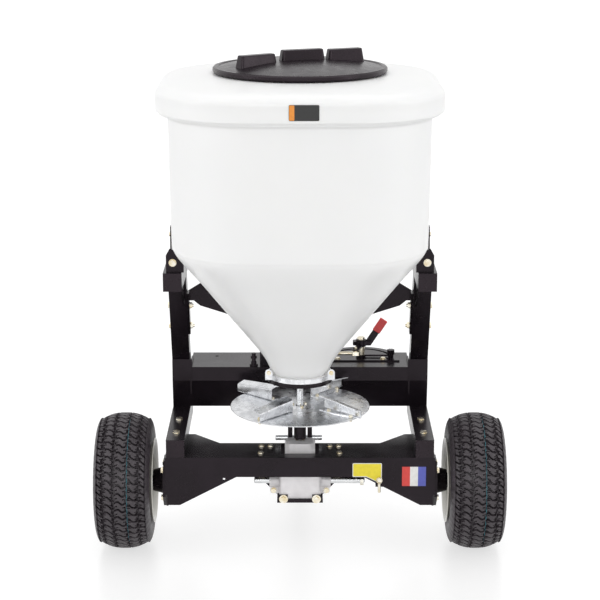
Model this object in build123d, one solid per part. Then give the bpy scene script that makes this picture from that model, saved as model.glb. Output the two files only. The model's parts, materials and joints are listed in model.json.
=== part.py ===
from build123d import *
import math
import os

# Tow-behind broadcast spreader. Millimetres, +Z up, floor at Z = 0, tongue towards +Y.
# Every piece is drawn about the axle (axle over Y = 0); save() shifts it so that the
# origin is the middle of the footprint.

# ---------------------------------------------------------------- driving sizes
# wheels
TYRE_D = 381.0
TYRE_W = 152.0
WHEEL_X = 491.0
AXLE_H = TYRE_D / 2
HUB_R = 30.0
SPINDLE_R = 12.7
# frame
TUBE = 50.8
TUBE_WALL = 3.0
RAIL_X = 344.0
SHEET = 5.0
BEAM_TOP = 290.0
BEAM_BACK = -100.0
BEAM_FRONT = 29.0
BEAM_END_FRONT = 110.0
BEAM_FLARE_X = (226.0, 300.0)
ARCH_X = (176.0, 335.0)
ARCH_TOP = 234.0
BEAM_BOTTOM = 152.0
END_PLATE_BOTTOM = 136.0
RAIL_FRONT = 330.0
UPPER_RAIL_H = 761.0
UPPER_RAIL_FRONT = 160.0
POST_FOOT_Y = 301.5
POST_HEAD_Y = 110.0
# cross member
CROSS_BACK = 203.0
CROSS_DEPTH = 160.0
CROSS_TOP = 462.0
CROSS_CREASE = 422.0
CROSS_BOTTOM = BEAM_TOP + TUBE
EAR_TOP = 486.0
SHELF_X = RAIL_X - TUBE / 2 - 1.6
# hopper
HOPPER_HALF = 342.0
HOPPER_CORNER = 220.0
HOPPER_WALL = 6.0
OUTLET_R = 67.0
OUTLET_H = 505.0
SHOULDER_H = 905.0
LIP_H = 1253.0
LIP_HALF = 380.0
LIP_CORNER = 250.0
LIP_TOP = 1330.0
CROWN_H = 1341.0
CROWN_R = 246.0
FILL_R = 205.0
# lid
LID_R = 233.5
LID_TOP = 1358.0
LID_DOME = 1374.0
LID_WALL = 5.0
GRIP_TOP = 1401.0
# spinner drive
SHAFT_R = 9.525
SHAFT_LEFT = -129.0
SHAFT_RIGHT = 182.0
SHAFT_TRAVEL = 70.0
SPINNER_R = 9.25
DISC_R = 194.0
DISC_H = 411.0
DISC_T = 2.5
FIN_H = 26.0
COUPLER_R = 17.0
GEAR_MODULE = 2.5
GEAR_TEETH = 24
PINION_TEETH = 12
GEAR_FACE = 11.0
BACKLASH_SHARE = 0.13
# gearbox
BOX_HALF_X = 58.0
BOX_HALF_Y = 52.0
BOX_BOTTOM = 148.0
BOX_TOP = 231.0
BOX_WALL = 8.0
NECK_HALF_X = 42.0
NECK_BACK = -45.0
NECK_FRONT = 16.0
NECK_TOP = 311.0
FLANGE_X = 84.0
FLANGE_T = 10.5
# gate control
PIVOT_X = 179.0
PIVOT_Y = 300.0
CRANK_R = 46.0
GATE_T = 3.0
GATE_SWING = 40.0
# tongue and stand
TONGUE_END = 1040.0
HITCH_PIN_R = 8.0
HITCH_EAR = 10.0
HITCH_GAP = 26.0
HITCH_REACH = 100.0
STAND_Y = 880.0
# clearances
RUN = 0.06
SLIP = 0.3

HITCH_Y = TONGUE_END + 62.0
HITCH_TIP = TONGUE_END + HITCH_REACH
AXLE_SHIFT = -(HITCH_TIP - LIP_HALF) / 2
SIDES = (-1, 1)


# ---------------------------------------------------------------- small helpers
def save(name, *solids):
    """Write one node, moved from the axle frame to the part's own frame."""
    group = Compound(children=[Pos(0, AXLE_SHIFT, 0) * s for s in solids])
    export_step(group, f"parts/{name}.step")


def block(x, y, z):
    """A box from its (low, high) pairs."""
    size = (x[1] - x[0], y[1] - y[0], z[1] - z[0])
    mid = (sum(x) / 2, sum(y) / 2, sum(z) / 2)
    return Pos(*mid) * Box(*size)


def rod(start, end, radius):
    """A round bar between two points."""
    a, b = Vector(*start), Vector(*end)
    plane = Plane(origin=a, z_dir=(b - a))
    return extrude(plane * Circle(radius), (b - a).length)


def prism(points, plane, depth):
    """A straight-sided outline pushed along its plane's normal."""
    face = plane * make_face(Polyline(*points, close=True))
    return extrude(face, depth)


def side_prism(points, x0, x1):
    """An outline in Y and Z, pushed from x0 to x1."""
    return prism(points, Plane.YZ.offset(x0), x1 - x0)


def back_prism(points, y0, y1):
    """An outline in X and Z, pushed from y0 to y1."""
    return prism(points, Plane.XZ.offset(-y1), y1 - y0)


def mirrored(solid, side):
    """The solid as drawn for the right side, or its mirror image."""
    return solid if side > 0 else mirror(solid, Plane.YZ)


def both(solid):
    """The left and right copies of a solid drawn for the right side."""
    return [mirrored(solid, side) for side in SIDES]


# ---------------------------------------------------------------- fasteners
def hex_prism(at, axis, across, height):
    """A hexagon bar standing on a point."""
    plane = Plane(origin=at, z_dir=axis)
    return extrude(plane * RegularPolygon(across / 2, 6, major_radius=False), height)


def bolt(at, axis, shank_r, grip, washer=True):
    """A hex bolt: head outside the point, shank along the axis through grip, nut beyond."""
    n = Vector(*axis).normalized()
    p = Vector(*at)
    head = hex_prism(p, -n, shank_r * 3.2, shank_r * 1.3)
    shank = extrude(Plane(origin=p, z_dir=n) * Circle(shank_r), grip + shank_r * 2.4)
    nut = hex_prism(p + n * grip, n, shank_r * 3.2, shank_r * 1.6)
    solid = head + shank + nut
    if washer:
        for base, way in ((p, -n), (p + n * grip, n)):
            solid += extrude(Plane(origin=base, z_dir=way) * Circle(shank_r * 2.1), 1.5)
    return solid


def screw(at, axis, shank_r, depth, washer_share=2.1):
    """A hex screw with a washer: head outside the point, shank along the axis."""
    n = Vector(*axis).normalized()
    p = Vector(*at)
    head = hex_prism(p, -n, shank_r * 3.2, shank_r * 1.3)
    washer = extrude(Plane(origin=p, z_dir=-n) * Circle(shank_r * washer_share), 1.5)
    return head + washer + extrude(Plane(origin=p, z_dir=n) * Circle(shank_r), depth)


def blind(solid, places, axis, shank_r, depth):
    """The solid with a blind hole for such a screw at each place."""
    n = Vector(*axis).normalized()
    for at in places:
        plane = Plane(origin=Vector(*at) - n, z_dir=n)
        solid -= extrude(plane * Circle(shank_r + SLIP), depth + 2)
    return solid


def screws(places, axis, shank_r, depth):
    """One screw at each place."""
    return [screw(at, axis, shank_r, depth) for at in places]


def hole(at, axis, shank_r, grip):
    """The clearance hole for such a bolt."""
    n = Vector(*axis).normalized()
    start = Vector(*at) - n * 30
    return extrude(Plane(origin=start, z_dir=n) * Circle(shank_r + SLIP), grip + 60)


def drilled(solid, places, axis, shank_r, grip):
    """The solid with a clearance hole at each place."""
    for at in places:
        solid -= hole(at, axis, shank_r, grip)
    return solid


def bolts(places, axis, shank_r, grip):
    """One bolt at each place."""
    return [bolt(at, axis, shank_r, grip) for at in places]


# ---------------------------------------------------------------- bolt sizes and places
M4_R = 2.0
M5_R = 2.5
M6_R = 3.0
M8_R = 4.0
M10_R = 5.0
M12_R = 6.0
RAIL_BOLT_R = 4.8
RAIL_BOLTS = [
    (side * RAIL_X, y, BEAM_TOP + TUBE) for side in SIDES for y in (-35.0, 86.0)
]
POST_BOLT_H = (592.0, 659.0)
SADDLE_T = 5.0
SPINDLE_BOLTS = [(y, z) for y in (-34.0, 34.0) for z in (-40.0, 40.0)]
SPINDLE_PLATE_T = 10.0
SPINDLE_BOSS = 30.0
CRADLE_BOLT_X = 46.0
CRADLE_BOLT_H = 154.0
CRADLE_T = 5.0
CRADLE_DEPTH = 20.0
WIDE_WASHER = 3.1
FLANGE_BOLT_H = (163.0, 218.0)


def post_line(h):
    """The post's centre line: its Y at a height."""
    share = (h - BEAM_TOP - TUBE) / (UPPER_RAIL_H - BEAM_TOP - TUBE)
    return POST_FOOT_Y + share * (POST_HEAD_Y - POST_FOOT_Y)


# ---------------------------------------------------------------- axle beam and rails
def beam_outline(inset):
    """Half of the beam's plan, given how far inside the outer skin it runs."""
    x_mid, x_end = BEAM_FLARE_X
    end = RAIL_X + TUBE / 2 - 1.4
    return [
        (-end, BEAM_BACK + inset),
        (end, BEAM_BACK + inset),
        (end, BEAM_END_FRONT - inset),
        (x_end + inset * 0.4, BEAM_END_FRONT - inset),
        (x_mid + inset * 0.4, BEAM_FRONT - inset),
        (-x_mid - inset * 0.4, BEAM_FRONT - inset),
        (-x_end - inset * 0.4, BEAM_END_FRONT - inset),
        (-end, BEAM_END_FRONT - inset),
    ]


BEAM_HALF = RAIL_X + TUBE / 2 - 1.4


def axle_beam():
    """Folded sheet channel, open below, with an arch over the gearbox."""
    height = BEAM_TOP - BEAM_BOTTOM
    skin = prism(beam_outline(0), Plane.XY.offset(BEAM_BOTTOM), height)
    skin -= prism(beam_outline(SHEET), Plane.XY.offset(BEAM_BOTTOM), height - SHEET)
    low = BEAM_BOTTOM - 1
    arch = [
        (-ARCH_X[1], low),
        (-ARCH_X[0], ARCH_TOP),
        (ARCH_X[0], ARCH_TOP),
        (ARCH_X[1], low),
    ]
    skin -= back_prism(arch, BEAM_BACK - 1, BEAM_END_FRONT + 1)
    window = block((-53, 53), (-63, 24), (BEAM_TOP - 20, BEAM_TOP + 1))
    skin -= window
    for x, z in (SPARE_HOLE, (PIN_STUD[0], PIN_STUD[2])):
        skin -= rod((x, BEAM_BACK - 1, z), (x, BEAM_BACK + 9, z), 3.5)
    skin = drilled(skin, RAIL_BOLTS, (0, 0, -1), RAIL_BOLT_R, TUBE + SHEET)
    skin = drilled(skin, WEB_BOLTS, (0, 0, -1), WEB_BOLT_R, SHEET)
    return skin


WEB_BOLT_R = 4.0
WEB_BOLTS = [
    (x, y, BEAM_TOP)
    for x, y in (
        (-108, 0),
        (-83, 0),
        (83, 0),
        (108, 0),
        (-109, -60),
        (109, -60),
    )
]


def end_plate():
    """The plate that closes the beam's end and carries the spindle plate."""
    x0 = BEAM_HALF
    outline = [
        (BEAM_BACK, BEAM_TOP),
        (BEAM_BACK, BEAM_BOTTOM + 30),
        (-62, END_PLATE_BOTTOM),
        (62, END_PLATE_BOTTOM),
        (BEAM_END_FRONT, BEAM_BOTTOM + 30),
        (BEAM_END_FRONT, BEAM_TOP),
    ]
    plate = side_prism(outline, x0, x0 + SHEET)
    plate -= rod((x0 - 5, 0, AXLE_H), (x0 + 15, 0, AXLE_H), STUB_R)
    return drilled(plate, spindle_places(), (-1, 0, 0), RAIL_BOLT_R, 20)


def spindle_places():
    """Bolt heads on the outer face of the right spindle plate."""
    x = BEAM_HALF + SHEET + SPINDLE_PLATE_T
    return [(x, y, AXLE_H + z) for y, z in SPINDLE_BOLTS]


def tube_along_y(x, y0, y1, z0):
    """A square tube lying front to back."""
    half = TUBE / 2
    outer = block((x - half, x + half), (y0, y1), (z0, z0 + TUBE))
    hollow = block(
        (x - half + TUBE_WALL, x + half - TUBE_WALL),
        (y0 - 1, y1 + 1),
        (z0 + TUBE_WALL, z0 + TUBE - TUBE_WALL),
    )
    return outer - hollow


def lower_rail():
    tube = tube_along_y(RAIL_X, BEAM_BACK + 2, RAIL_FRONT, BEAM_TOP)
    return drilled(tube, RAIL_BOLTS, (0, 0, -1), RAIL_BOLT_R, TUBE + SHEET)


def upper_rail():
    return tube_along_y(RAIL_X, BEAM_BACK + 2, UPPER_RAIL_FRONT, UPPER_RAIL_H)


def rail_caps():
    """Pressed-in plastic plugs with a thin head, one for each open tube end."""
    half = TUBE / 2
    plug = half - TUBE_WALL
    out = []
    ends = [(BEAM_BACK + 2, -1, BEAM_TOP), (RAIL_FRONT, 1, BEAM_TOP)]
    ends += [(BEAM_BACK + 2, -1, UPPER_RAIL_H), (UPPER_RAIL_FRONT, 1, UPPER_RAIL_H)]
    for side in SIDES:
        for y, way, z0 in ends:
            mid = (side * RAIL_X, y, z0 + half)
            head = Pos(mid[0], y + way * 1.5, mid[2]) * Box(TUBE - 1, 3, TUBE - 1)
            stem = Pos(mid[0], y - way * 6, mid[2]) * Box(2 * plug, 12, 2 * plug)
            out.append(head + stem)
    return out


def post():
    """The leaning square tube between the two rails, cut to sit flat on both."""
    foot, head = BEAM_TOP + TUBE, UPPER_RAIL_H
    y0, y1 = POST_FOOT_Y, POST_HEAD_Y
    run = math.hypot(y1 - y0, head - foot)
    half = TUBE / 2 * run / (head - foot)
    wall = TUBE_WALL * run / (head - foot)

    def outline(cut):
        return [
            (y0 - half + cut, foot),
            (y0 + half - cut, foot),
            (y1 + half - cut, head),
            (y1 - half + cut, head),
        ]

    outer = side_prism(outline(0), RAIL_X - TUBE / 2, RAIL_X + TUBE / 2)
    inner = side_prism(
        outline(wall), RAIL_X - TUBE / 2 + TUBE_WALL, RAIL_X + TUBE / 2 - TUBE_WALL
    )
    tube = outer - inner
    return drilled(tube, post_bolt_places(), (-1, 0, 0), RAIL_BOLT_R, TUBE + 5)


def post_bolt_places():
    """Bolt heads on the right post's outer face."""
    return [(RAIL_X + TUBE / 2, post_line(h), h) for h in POST_BOLT_H]


def post_gusset():
    """The thin triangle that stiffens the corner under the upper rail."""
    top = UPPER_RAIL_H
    y_post = post_line(top) - TUBE / 2 - 6
    low = top - 95
    outline = [
        (y_post - 92, top),
        (y_post, top),
        (post_line(low) - TUBE / 2 - 6, low),
        (post_line(low) - TUBE / 2 - 14, low),
        (y_post - 92, top - 14),
    ]
    x = RAIL_X - TUBE / 2 + 6
    return side_prism(outline, x, x + 4)


# ---------------------------------------------------------------- cross member
def cross_member():
    """Folded sheet: a shelf on top, two facets at the back, and a wall in front."""
    t = CROSS_T
    back, front = CROSS_BACK, CROSS_BACK + CROSS_DEPTH
    profile = [
        (back + CROSS_LEAN, CROSS_BOTTOM),
        (back, CROSS_CREASE),
        (back + 3, CROSS_TOP),
        (front, CROSS_TOP),
        (front, TONGUE_H[1] + 2),
        (front - t, TONGUE_H[1] + 2),
        (front - t, CROSS_TOP - t),
        (back + 3 + t, CROSS_TOP - t),
        (back + t, CROSS_CREASE),
        (back + CROSS_LEAN + t, CROSS_BOTTOM),
    ]
    body = side_prism(profile, -SHELF_X, SHELF_X)
    x, y = SHELF_HOLE
    body -= rod((x, y, CROSS_TOP - 9), (x, y, CROSS_TOP + 1), 5)
    for side in SIDES:
        body += mirrored(cross_ear(), side)
    body = drilled(body, QUADRANT_BOLTS, (0, 0, -1), M8_R, 10)
    body = drilled(body, STAY_BOLTS, (0, 0, -1), M8_R, 10)
    pivot = (PIVOT_X, PIVOT_Y, CROSS_TOP + 5)
    body = drilled(body, [pivot], (0, 0, -1), PIVOT_BOLT_R, 10)
    return drilled(body, TONGUE_BOLTS, (0, 0, -1), M12_R, 12)


CROSS_T = 4.0
CROSS_LEAN = 14.0
SHELF_HOLE = (-245.0, CROSS_BACK + 120.0)


def cross_ear():
    """The facets' end behind the post, raised a little, and the web beside the post."""
    t = CROSS_T
    back = CROSS_BACK
    x0 = RAIL_X - TUBE / 2 - 0.5
    skirt = [
        (back + CROSS_LEAN, CROSS_BOTTOM),
        (back, CROSS_CREASE),
        (back + t, CROSS_CREASE),
        (back + CROSS_LEAN + t, CROSS_BOTTOM),
    ]
    low = side_prism(skirt, SHELF_X - 4, RAIL_X + TUBE / 2)
    ear = block((x0 - 6, RAIL_X + TUBE / 2), (back, back + t), (CROSS_CREASE, EAR_TOP))
    web = block((x0 - 5, x0), (back, back + 96), (CROSS_CREASE - 40, CROSS_TOP + 8))
    return low + ear + web


# ---------------------------------------------------------------- hopper supports
def saddle_plate():
    """The gusset on the inner side of a post that the funnel leans on."""
    face = RAIL_X - TUBE / 2
    outline = [
        (face - 1, 701),
        (258, 738),
        (222, 738),
        (150, 668),
        (140, 640),
        (150, 614),
        (284, 657),
        (302, 672),
        (face - 1, 672),
    ]
    y = post_line(SADDLE_H) + 14
    plate = back_prism(outline, y - SADDLE_T / 2, y + SADDLE_T / 2)
    low, high = SADDLE_FOOT
    foot = side_prism(
        [
            (post_line(low) - 18, low),
            (post_line(low) + 18, low),
            (post_line(high) + 18, high),
            (post_line(high) - 18, high),
        ],
        face - SADDLE_T,
        face,
    )
    return drilled(plate + foot, post_bolt_places(), (-1, 0, 0), RAIL_BOLT_R, TUBE + SADDLE_T)


SADDLE_H = 675.0
SADDLE_FOOT = (567.0, 702.0)
BRACKET_Y = -88.0
BRACKET_T = 4.0


def hopper_bracket():
    """The flanged plate on the upper rail that holds the hopper's shoulder."""
    base = UPPER_RAIL_H + TUBE
    outline = [
        (RAIL_X + 17, base),
        (RAIL_X + 17, base + 47),
        (BRACKET_FIN_X + 6, base + 65),
        (BRACKET_FIN_X - 3, base + 62),
        (BRACKET_FIN_X - 32, base + 20),
        (BRACKET_FIN_X - 32, base),
    ]
    plate = back_prism(outline, BRACKET_Y, BRACKET_Y + BRACKET_T)
    fin = side_prism(
        [
            (BRACKET_Y + BRACKET_T, base),
            (BRACKET_Y + 60, base),
            (BRACKET_Y + 40, base + 123),
            (BRACKET_Y + 14, base + 123),
            (BRACKET_Y + BRACKET_T, base + 65),
        ],
        BRACKET_FIN_X,
        BRACKET_FIN_X + BRACKET_T,
    )
    solid = drilled(plate + fin, [BRACKET_FRONT_BOLT], (0, 1, 0), M10_R, BRACKET_T)
    return drilled(solid, [BRACKET_SIDE_BOLT], (-1, 0, 0), M6_R, BRACKET_T)


BRACKET_FIN_X = HOPPER_HALF + 3.0
BRACKET_SIDE_BOLT = (BRACKET_FIN_X + BRACKET_T, BRACKET_Y + 28, UPPER_RAIL_H + TUBE + 100)
BRACKET_FRONT_BOLT = (BRACKET_FIN_X - 2, BRACKET_Y, UPPER_RAIL_H + TUBE + 27)


# ---------------------------------------------------------------- tongue
TONGUE_TOP = CROSS_TOP - 2 * CROSS_T
TONGUE_H = (TONGUE_TOP - 90.0, TONGUE_TOP - 90.0 + TUBE)
HANGER_BOLT_X = TUBE / 2 + 18.6
TONGUE_BOLTS = [
    (side * HANGER_BOLT_X, CROSS_BACK + y, CROSS_TOP) for side in SIDES for y in (50, 140)
]


def tongue():
    """Square tube from the cross member to the hitch."""
    half = TUBE / 2
    outer = block((-half, half), (CROSS_BACK + 24, TONGUE_END), TONGUE_H)
    inner = block(
        (-half + TUBE_WALL, half - TUBE_WALL),
        (CROSS_BACK + 20, TONGUE_END + 1),
        (TONGUE_H[0] + TUBE_WALL, TONGUE_H[1] - TUBE_WALL),
    )
    tube = outer - inner
    tube = drilled(tube, HANGER_BOLTS, (-1, 0, 0), M12_R, TUBE + 10)
    return drilled(tube, STAND_BOLTS, (-1, 0, 0), M10_R, TUBE + 8)


HANGER_BOLTS = [
    (TUBE / 2 + 5, CROSS_BACK + y, sum(TONGUE_H) / 2) for y in (50.0, 140.0)
]
STAND_BOLTS = [
    (TUBE / 2 + 4, STAND_Y + y, sum(TONGUE_H) / 2) for y in (-28.0, 28.0)
]


def tongue_hanger(side):
    """One of the two angles that hang the tongue under the shelf."""
    low, high = TONGUE_H[0], CROSS_TOP - CROSS_T
    y0, y1 = CROSS_BACK + 38, CROSS_BACK + CROSS_DEPTH - 12
    leg = block((TUBE / 2, TUBE / 2 + 5), (y0, y1), (low, high))
    flange = block((TUBE / 2 + 5, 64), (y0, y1), (high - 5, high))
    solid = mirrored(leg + flange, side)
    solid = drilled(solid, HANGER_BOLTS, (-1, 0, 0), M12_R, TUBE + 10)
    return drilled(solid, TONGUE_BOLTS, (0, 0, -1), M12_R, 12)


def hitch_clevis():
    """A stem in the tongue's mouth with two flat ears for the drawbar pin."""
    mid = sum(TONGUE_H) / 2
    half = TUBE / 2
    plate = block((-half, half), (TONGUE_END, TONGUE_END + 10), TONGUE_H)
    ears = None
    for way in SIDES:
        z0 = mid + way * (HITCH_GAP / 2 + HITCH_EAR / 2)
        bar = Pos(0, TONGUE_END + 36, z0) * Box(TUBE, 52, HITCH_EAR)
        nose = Pos(0, HITCH_Y, z0) * Cylinder(HITCH_TIP - HITCH_Y, HITCH_EAR)
        nose &= block((-half, half), (HITCH_Y - 60, HITCH_TIP), (0, 900))
        ear = bar + nose
        ears = ear if ears is None else ears + ear
    solid = plate + ears
    solid -= rod((0, HITCH_Y, mid - 60), (0, HITCH_Y, mid + 60), HITCH_PIN_R)
    return solid


# ---------------------------------------------------------------- parking stand
STAND_PIVOT_H = TONGUE_H[0] - 26.0
STAND_LEAN = -34.0
STAND_W = 38.0


def stand_bracket(side):
    """One of the two ears on the tongue's sides that carry the stand's pivot."""
    ear = block(
        (TUBE / 2, TUBE / 2 + 4),
        (STAND_Y - 42, STAND_Y + 42),
        (TONGUE_H[0] - 46, TONGUE_H[1] - 8),
    )
    ear = mirrored(ear, side)
    ear -= rod(
        (-60, STAND_Y, STAND_PIVOT_H), (60, STAND_Y, STAND_PIVOT_H), 6.0 + RUN
    )
    return drilled(ear, STAND_BOLTS, (-1, 0, 0), M10_R, TUBE + 8)


def stand_leg():
    """A tube leg with a foot plate, set a little over centre so that the load locks it."""
    half = STAND_W / 2
    top, low = STAND_PIVOT_H + 16, 6.0
    y_low = STAND_Y - STAND_LEAN
    outline = [
        (STAND_Y - half, top),
        (STAND_Y + half, top),
        (y_low + half, low),
        (y_low - half, low),
    ]
    leg = side_prism(outline, -half, half)
    leg -= side_prism(
        [
            (STAND_Y - half + 3, top + 1),
            (STAND_Y + half - 3, top + 1),
            (y_low + half - 3, low - 1),
            (y_low - half + 3, low - 1),
        ],
        -half + 3,
        half - 3,
    )
    foot = block((-50, 50), (y_low - 50, y_low + 50), (0, 6))
    pin = rod((-TUBE / 2 - 12, STAND_Y, STAND_PIVOT_H), (TUBE / 2 + 12, STAND_Y, STAND_PIVOT_H), 6)
    for way in SIDES:
        pin += Pos(way * (TUBE / 2 + 9.3), STAND_Y, STAND_PIVOT_H) * Rot(0, 90, 0) * Cylinder(10, 6)
    return leg + foot + pin


# ---------------------------------------------------------------- gearbox
def gearbox_blank():
    """The outside of the two-part casting."""
    body = block((-BOX_HALF_X, BOX_HALF_X), (-BOX_HALF_Y, BOX_HALF_Y), (BOX_BOTTOM, BOX_TOP))
    body = fillet(body.edges().filter_by(Axis.Z), 9)
    neck = block(
        (-NECK_HALF_X, NECK_HALF_X), (NECK_BACK, NECK_FRONT), (BOX_TOP - 1, NECK_TOP)
    )
    neck = chamfer(neck.edges().filter_by(Axis.Z), 12)
    neck = fillet(neck.edges().filter_by(Axis.Y).group_by(Axis.Z)[-1], 9)
    flange = block((-FLANGE_X, FLANGE_X), (-FLANGE_T, FLANGE_T), (BOX_BOTTOM + 6, BOX_TOP - 4))
    flange = fillet(flange.edges().filter_by(Axis.Y), 8)
    boss = rod((-FLANGE_X - 2, 0, AXLE_H), (FLANGE_X + 2, 0, AXLE_H), BOSS_R)
    return body + neck + flange + boss


def gearbox_cavity():
    """The gear space and the bores for shafts and bushes."""
    room = block(
        (-BOX_HALF_X + BOX_WALL, BOX_HALF_X - BOX_WALL),
        (-BOX_HALF_Y + BOX_WALL, BOX_HALF_Y - BOX_WALL),
        (BOX_BOTTOM + BOX_WALL, BOX_TOP - BOX_WALL),
    )
    for side in SIDES:
        mid = side * CRADLE_BOLT_X
        room -= block(
            (mid - 9, mid + 12),
            (-BOX_HALF_Y, -BOX_HALF_Y + CRADLE_DEPTH + 6),
            (BOX_BOTTOM, CRADLE_BOLT_H + 10),
        )
    cross = rod((-200, 0, AXLE_H), (200, 0, AXLE_H), BUSH_R)
    upright = rod((0, 0, AXLE_H), (0, 0, NECK_TOP + 5), BUSH_R)
    return room + cross + upright


BUSH_R = 15.0
BOSS_R = 21.0


def gearbox_half(way):
    """The rear (-1) or front (+1) casting, parted on the shafts' plane."""
    side = (-200, 0) if way < 0 else (0, 200)
    keep = block((-200, 200), side, (0, 400))
    solid = (gearbox_blank() - gearbox_cavity()) & keep
    solid = drilled(solid, flange_places(), (0, 1, 0), M8_R, 2 * FLANGE_T)
    return blind(solid, cradle_places(), (0, 1, 0), M8_R, CRADLE_T + CRADLE_DEPTH)


def flange_places():
    """Bolt heads on the rear face of the casting's flanges."""
    return [
        (side * 74.0, -FLANGE_T, h) for side in SIDES for h in FLANGE_BOLT_H
    ]


def cradle_places():
    """Bolt heads on the rear face of the cradle."""
    y = -BOX_HALF_Y - CRADLE_T
    return [(side * CRADLE_BOLT_X, y, CRADLE_BOLT_H) for side in SIDES]


def shaft_bushes():
    """Bronze bushes: two on the drive shaft, two on the spinner shaft."""
    out = []
    for side in SIDES:
        bush = rod((side * 52, 0, AXLE_H), (side * 84, 0, AXLE_H), BUSH_R)
        bush -= rod((side * 40, 0, AXLE_H), (side * 90, 0, AXLE_H), GEAR_HUB_R + RUN)
        out.append(bush)
    for z0, z1 in ((236.0, 258.0), (286.0, 307.0)):
        bush = rod((0, 0, z0), (0, 0, z1), BUSH_R)
        bush -= rod((0, 0, z0 - 1), (0, 0, z1 + 1), SPINNER_R + RUN)
        out.append(bush)
    return out


GEAR_HUB_R = 12.5
CONE_GEAR = math.atan2(GEAR_TEETH, PINION_TEETH)
CONE_PINION = math.pi / 2 - CONE_GEAR
GEAR_R = GEAR_MODULE * GEAR_TEETH / 2
PINION_R = GEAR_MODULE * PINION_TEETH / 2
CONE_REACH = math.hypot(GEAR_R, PINION_R)


def tooth_section(teeth, cone, scale):
    """One tooth's outline at a distance from the apex: (tangential, outward) points."""
    m = GEAR_MODULE * scale
    virtual_r = m * teeth / math.cos(cone) / 2
    base_r = virtual_r * math.cos(math.radians(20))
    root, tip = virtual_r - 1.15 * m, virtual_r + 0.85 * m
    half = math.pi * m / 4 - BACKLASH_SHARE * math.pi * m / 2
    inv20 = math.tan(math.radians(20)) - math.radians(20)
    start = max(root, base_r)
    flank = []
    for i in range(4):
        r = start + (tip - start) * i / 3
        a = math.acos(min(1.0, base_r / r))
        turn = half / virtual_r + inv20 - (math.tan(a) - a)
        flank.append((r * math.sin(turn), r * math.cos(turn) - virtual_r))
    foot = (flank[0][0], root - virtual_r - 0.4 * m)
    right = [foot] + flank
    return right + [(-x, y) for x, y in reversed(right)]


def bevel_blank(radius, cone, bore_r):
    """The toothless cone of a gear whose apex is the origin and whose axis is +Z."""
    back = radius / math.tan(cone)
    drop = 1.2 * GEAR_MODULE
    inner = (CONE_REACH - GEAR_FACE) / CONE_REACH
    outer_r, outer_z = radius - drop * math.cos(cone), back + drop * math.sin(cone)
    profile = [
        (bore_r, outer_z * inner),
        (outer_r * inner, outer_z * inner),
        (outer_r, outer_z),
        (outer_r, outer_z + 2.5),
        (bore_r, outer_z + 2.5),
    ]
    face = make_face(Plane.XZ * Polyline(*profile, close=True))
    return revolve(face, Axis.Z)


def bevel_gear(teeth, radius, cone, bore_r, phase):
    """A straight bevel gear: cone blank with tapering teeth."""
    back = radius / math.tan(cone)
    inner = (CONE_REACH - GEAR_FACE) / CONE_REACH
    solid = bevel_blank(radius, cone, bore_r)
    outward = Vector(math.cos(cone), 0, -math.sin(cone))
    element = Vector(math.sin(cone), 0, math.cos(cone))
    faces = []
    for scale in (1.0, inner):
        at = Vector(radius, 0, back) * scale
        plane = Plane(origin=at, x_dir=(0, 1, 0), z_dir=element)
        sign = 1 if (plane.y_dir - outward).length < 0.1 else -1
        points = [(x, y * sign) for x, y in tooth_section(teeth, cone, scale)]
        faces.append(plane * make_face(Polyline(*points, close=True)))
    tooth = loft(faces, ruled=True)
    teeth_all = [
        Rot(0, 0, 360 * i / teeth + phase) * tooth for i in range(teeth)
    ]
    return solid.fuse(*teeth_all)


def drive_gear():
    """The large gear with its keyed sleeve, turning in the cross bushes."""
    gear = bevel_gear(GEAR_TEETH, GEAR_R, CONE_GEAR, SHAFT_R + RUN, 0.0)
    gear = Rot(0, 90, 0) * gear
    sleeve = rod((-84, 0, 0), (84, 0, 0), GEAR_HUB_R)
    sleeve -= rod((-90, 0, 0), (90, 0, 0), SHAFT_R + RUN)
    return Pos(0, 0, AXLE_H) * (gear + sleeve)


def pinion():
    """The small gear on the spinner shaft's foot."""
    gear = bevel_gear(PINION_TEETH, PINION_R, CONE_PINION, SPINNER_R - 3, 180 / PINION_TEETH)
    return Pos(0, 0, AXLE_H) * gear


def drive_shaft():
    """The sliding shaft, with a cross hole for the axle pin and a chamfered end."""
    shaft = rod((SHAFT_LEFT, 0, AXLE_H), (SHAFT_RIGHT, 0, AXLE_H), SHAFT_R)
    shaft = chamfer(shaft.edges().filter_by(GeomType.CIRCLE), 1.5)
    return shaft - rod((PIN_X, -30, AXLE_H), (PIN_X, 30, AXLE_H), PIN_HOLE_R)


PIN_X = SHAFT_RIGHT - 22.0
PIN_HOLE_R = 4.2
COLLAR_R = 15.0


def shaft_collar():
    """The zinc stop collar at the shaft's right end."""
    ring = rod((SHAFT_RIGHT - 12, 0, AXLE_H), (SHAFT_RIGHT - 3, 0, AXLE_H), COLLAR_R)
    return ring - rod((SHAFT_RIGHT - 20, 0, AXLE_H), (SHAFT_RIGHT, 0, AXLE_H), SHAFT_R)


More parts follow.
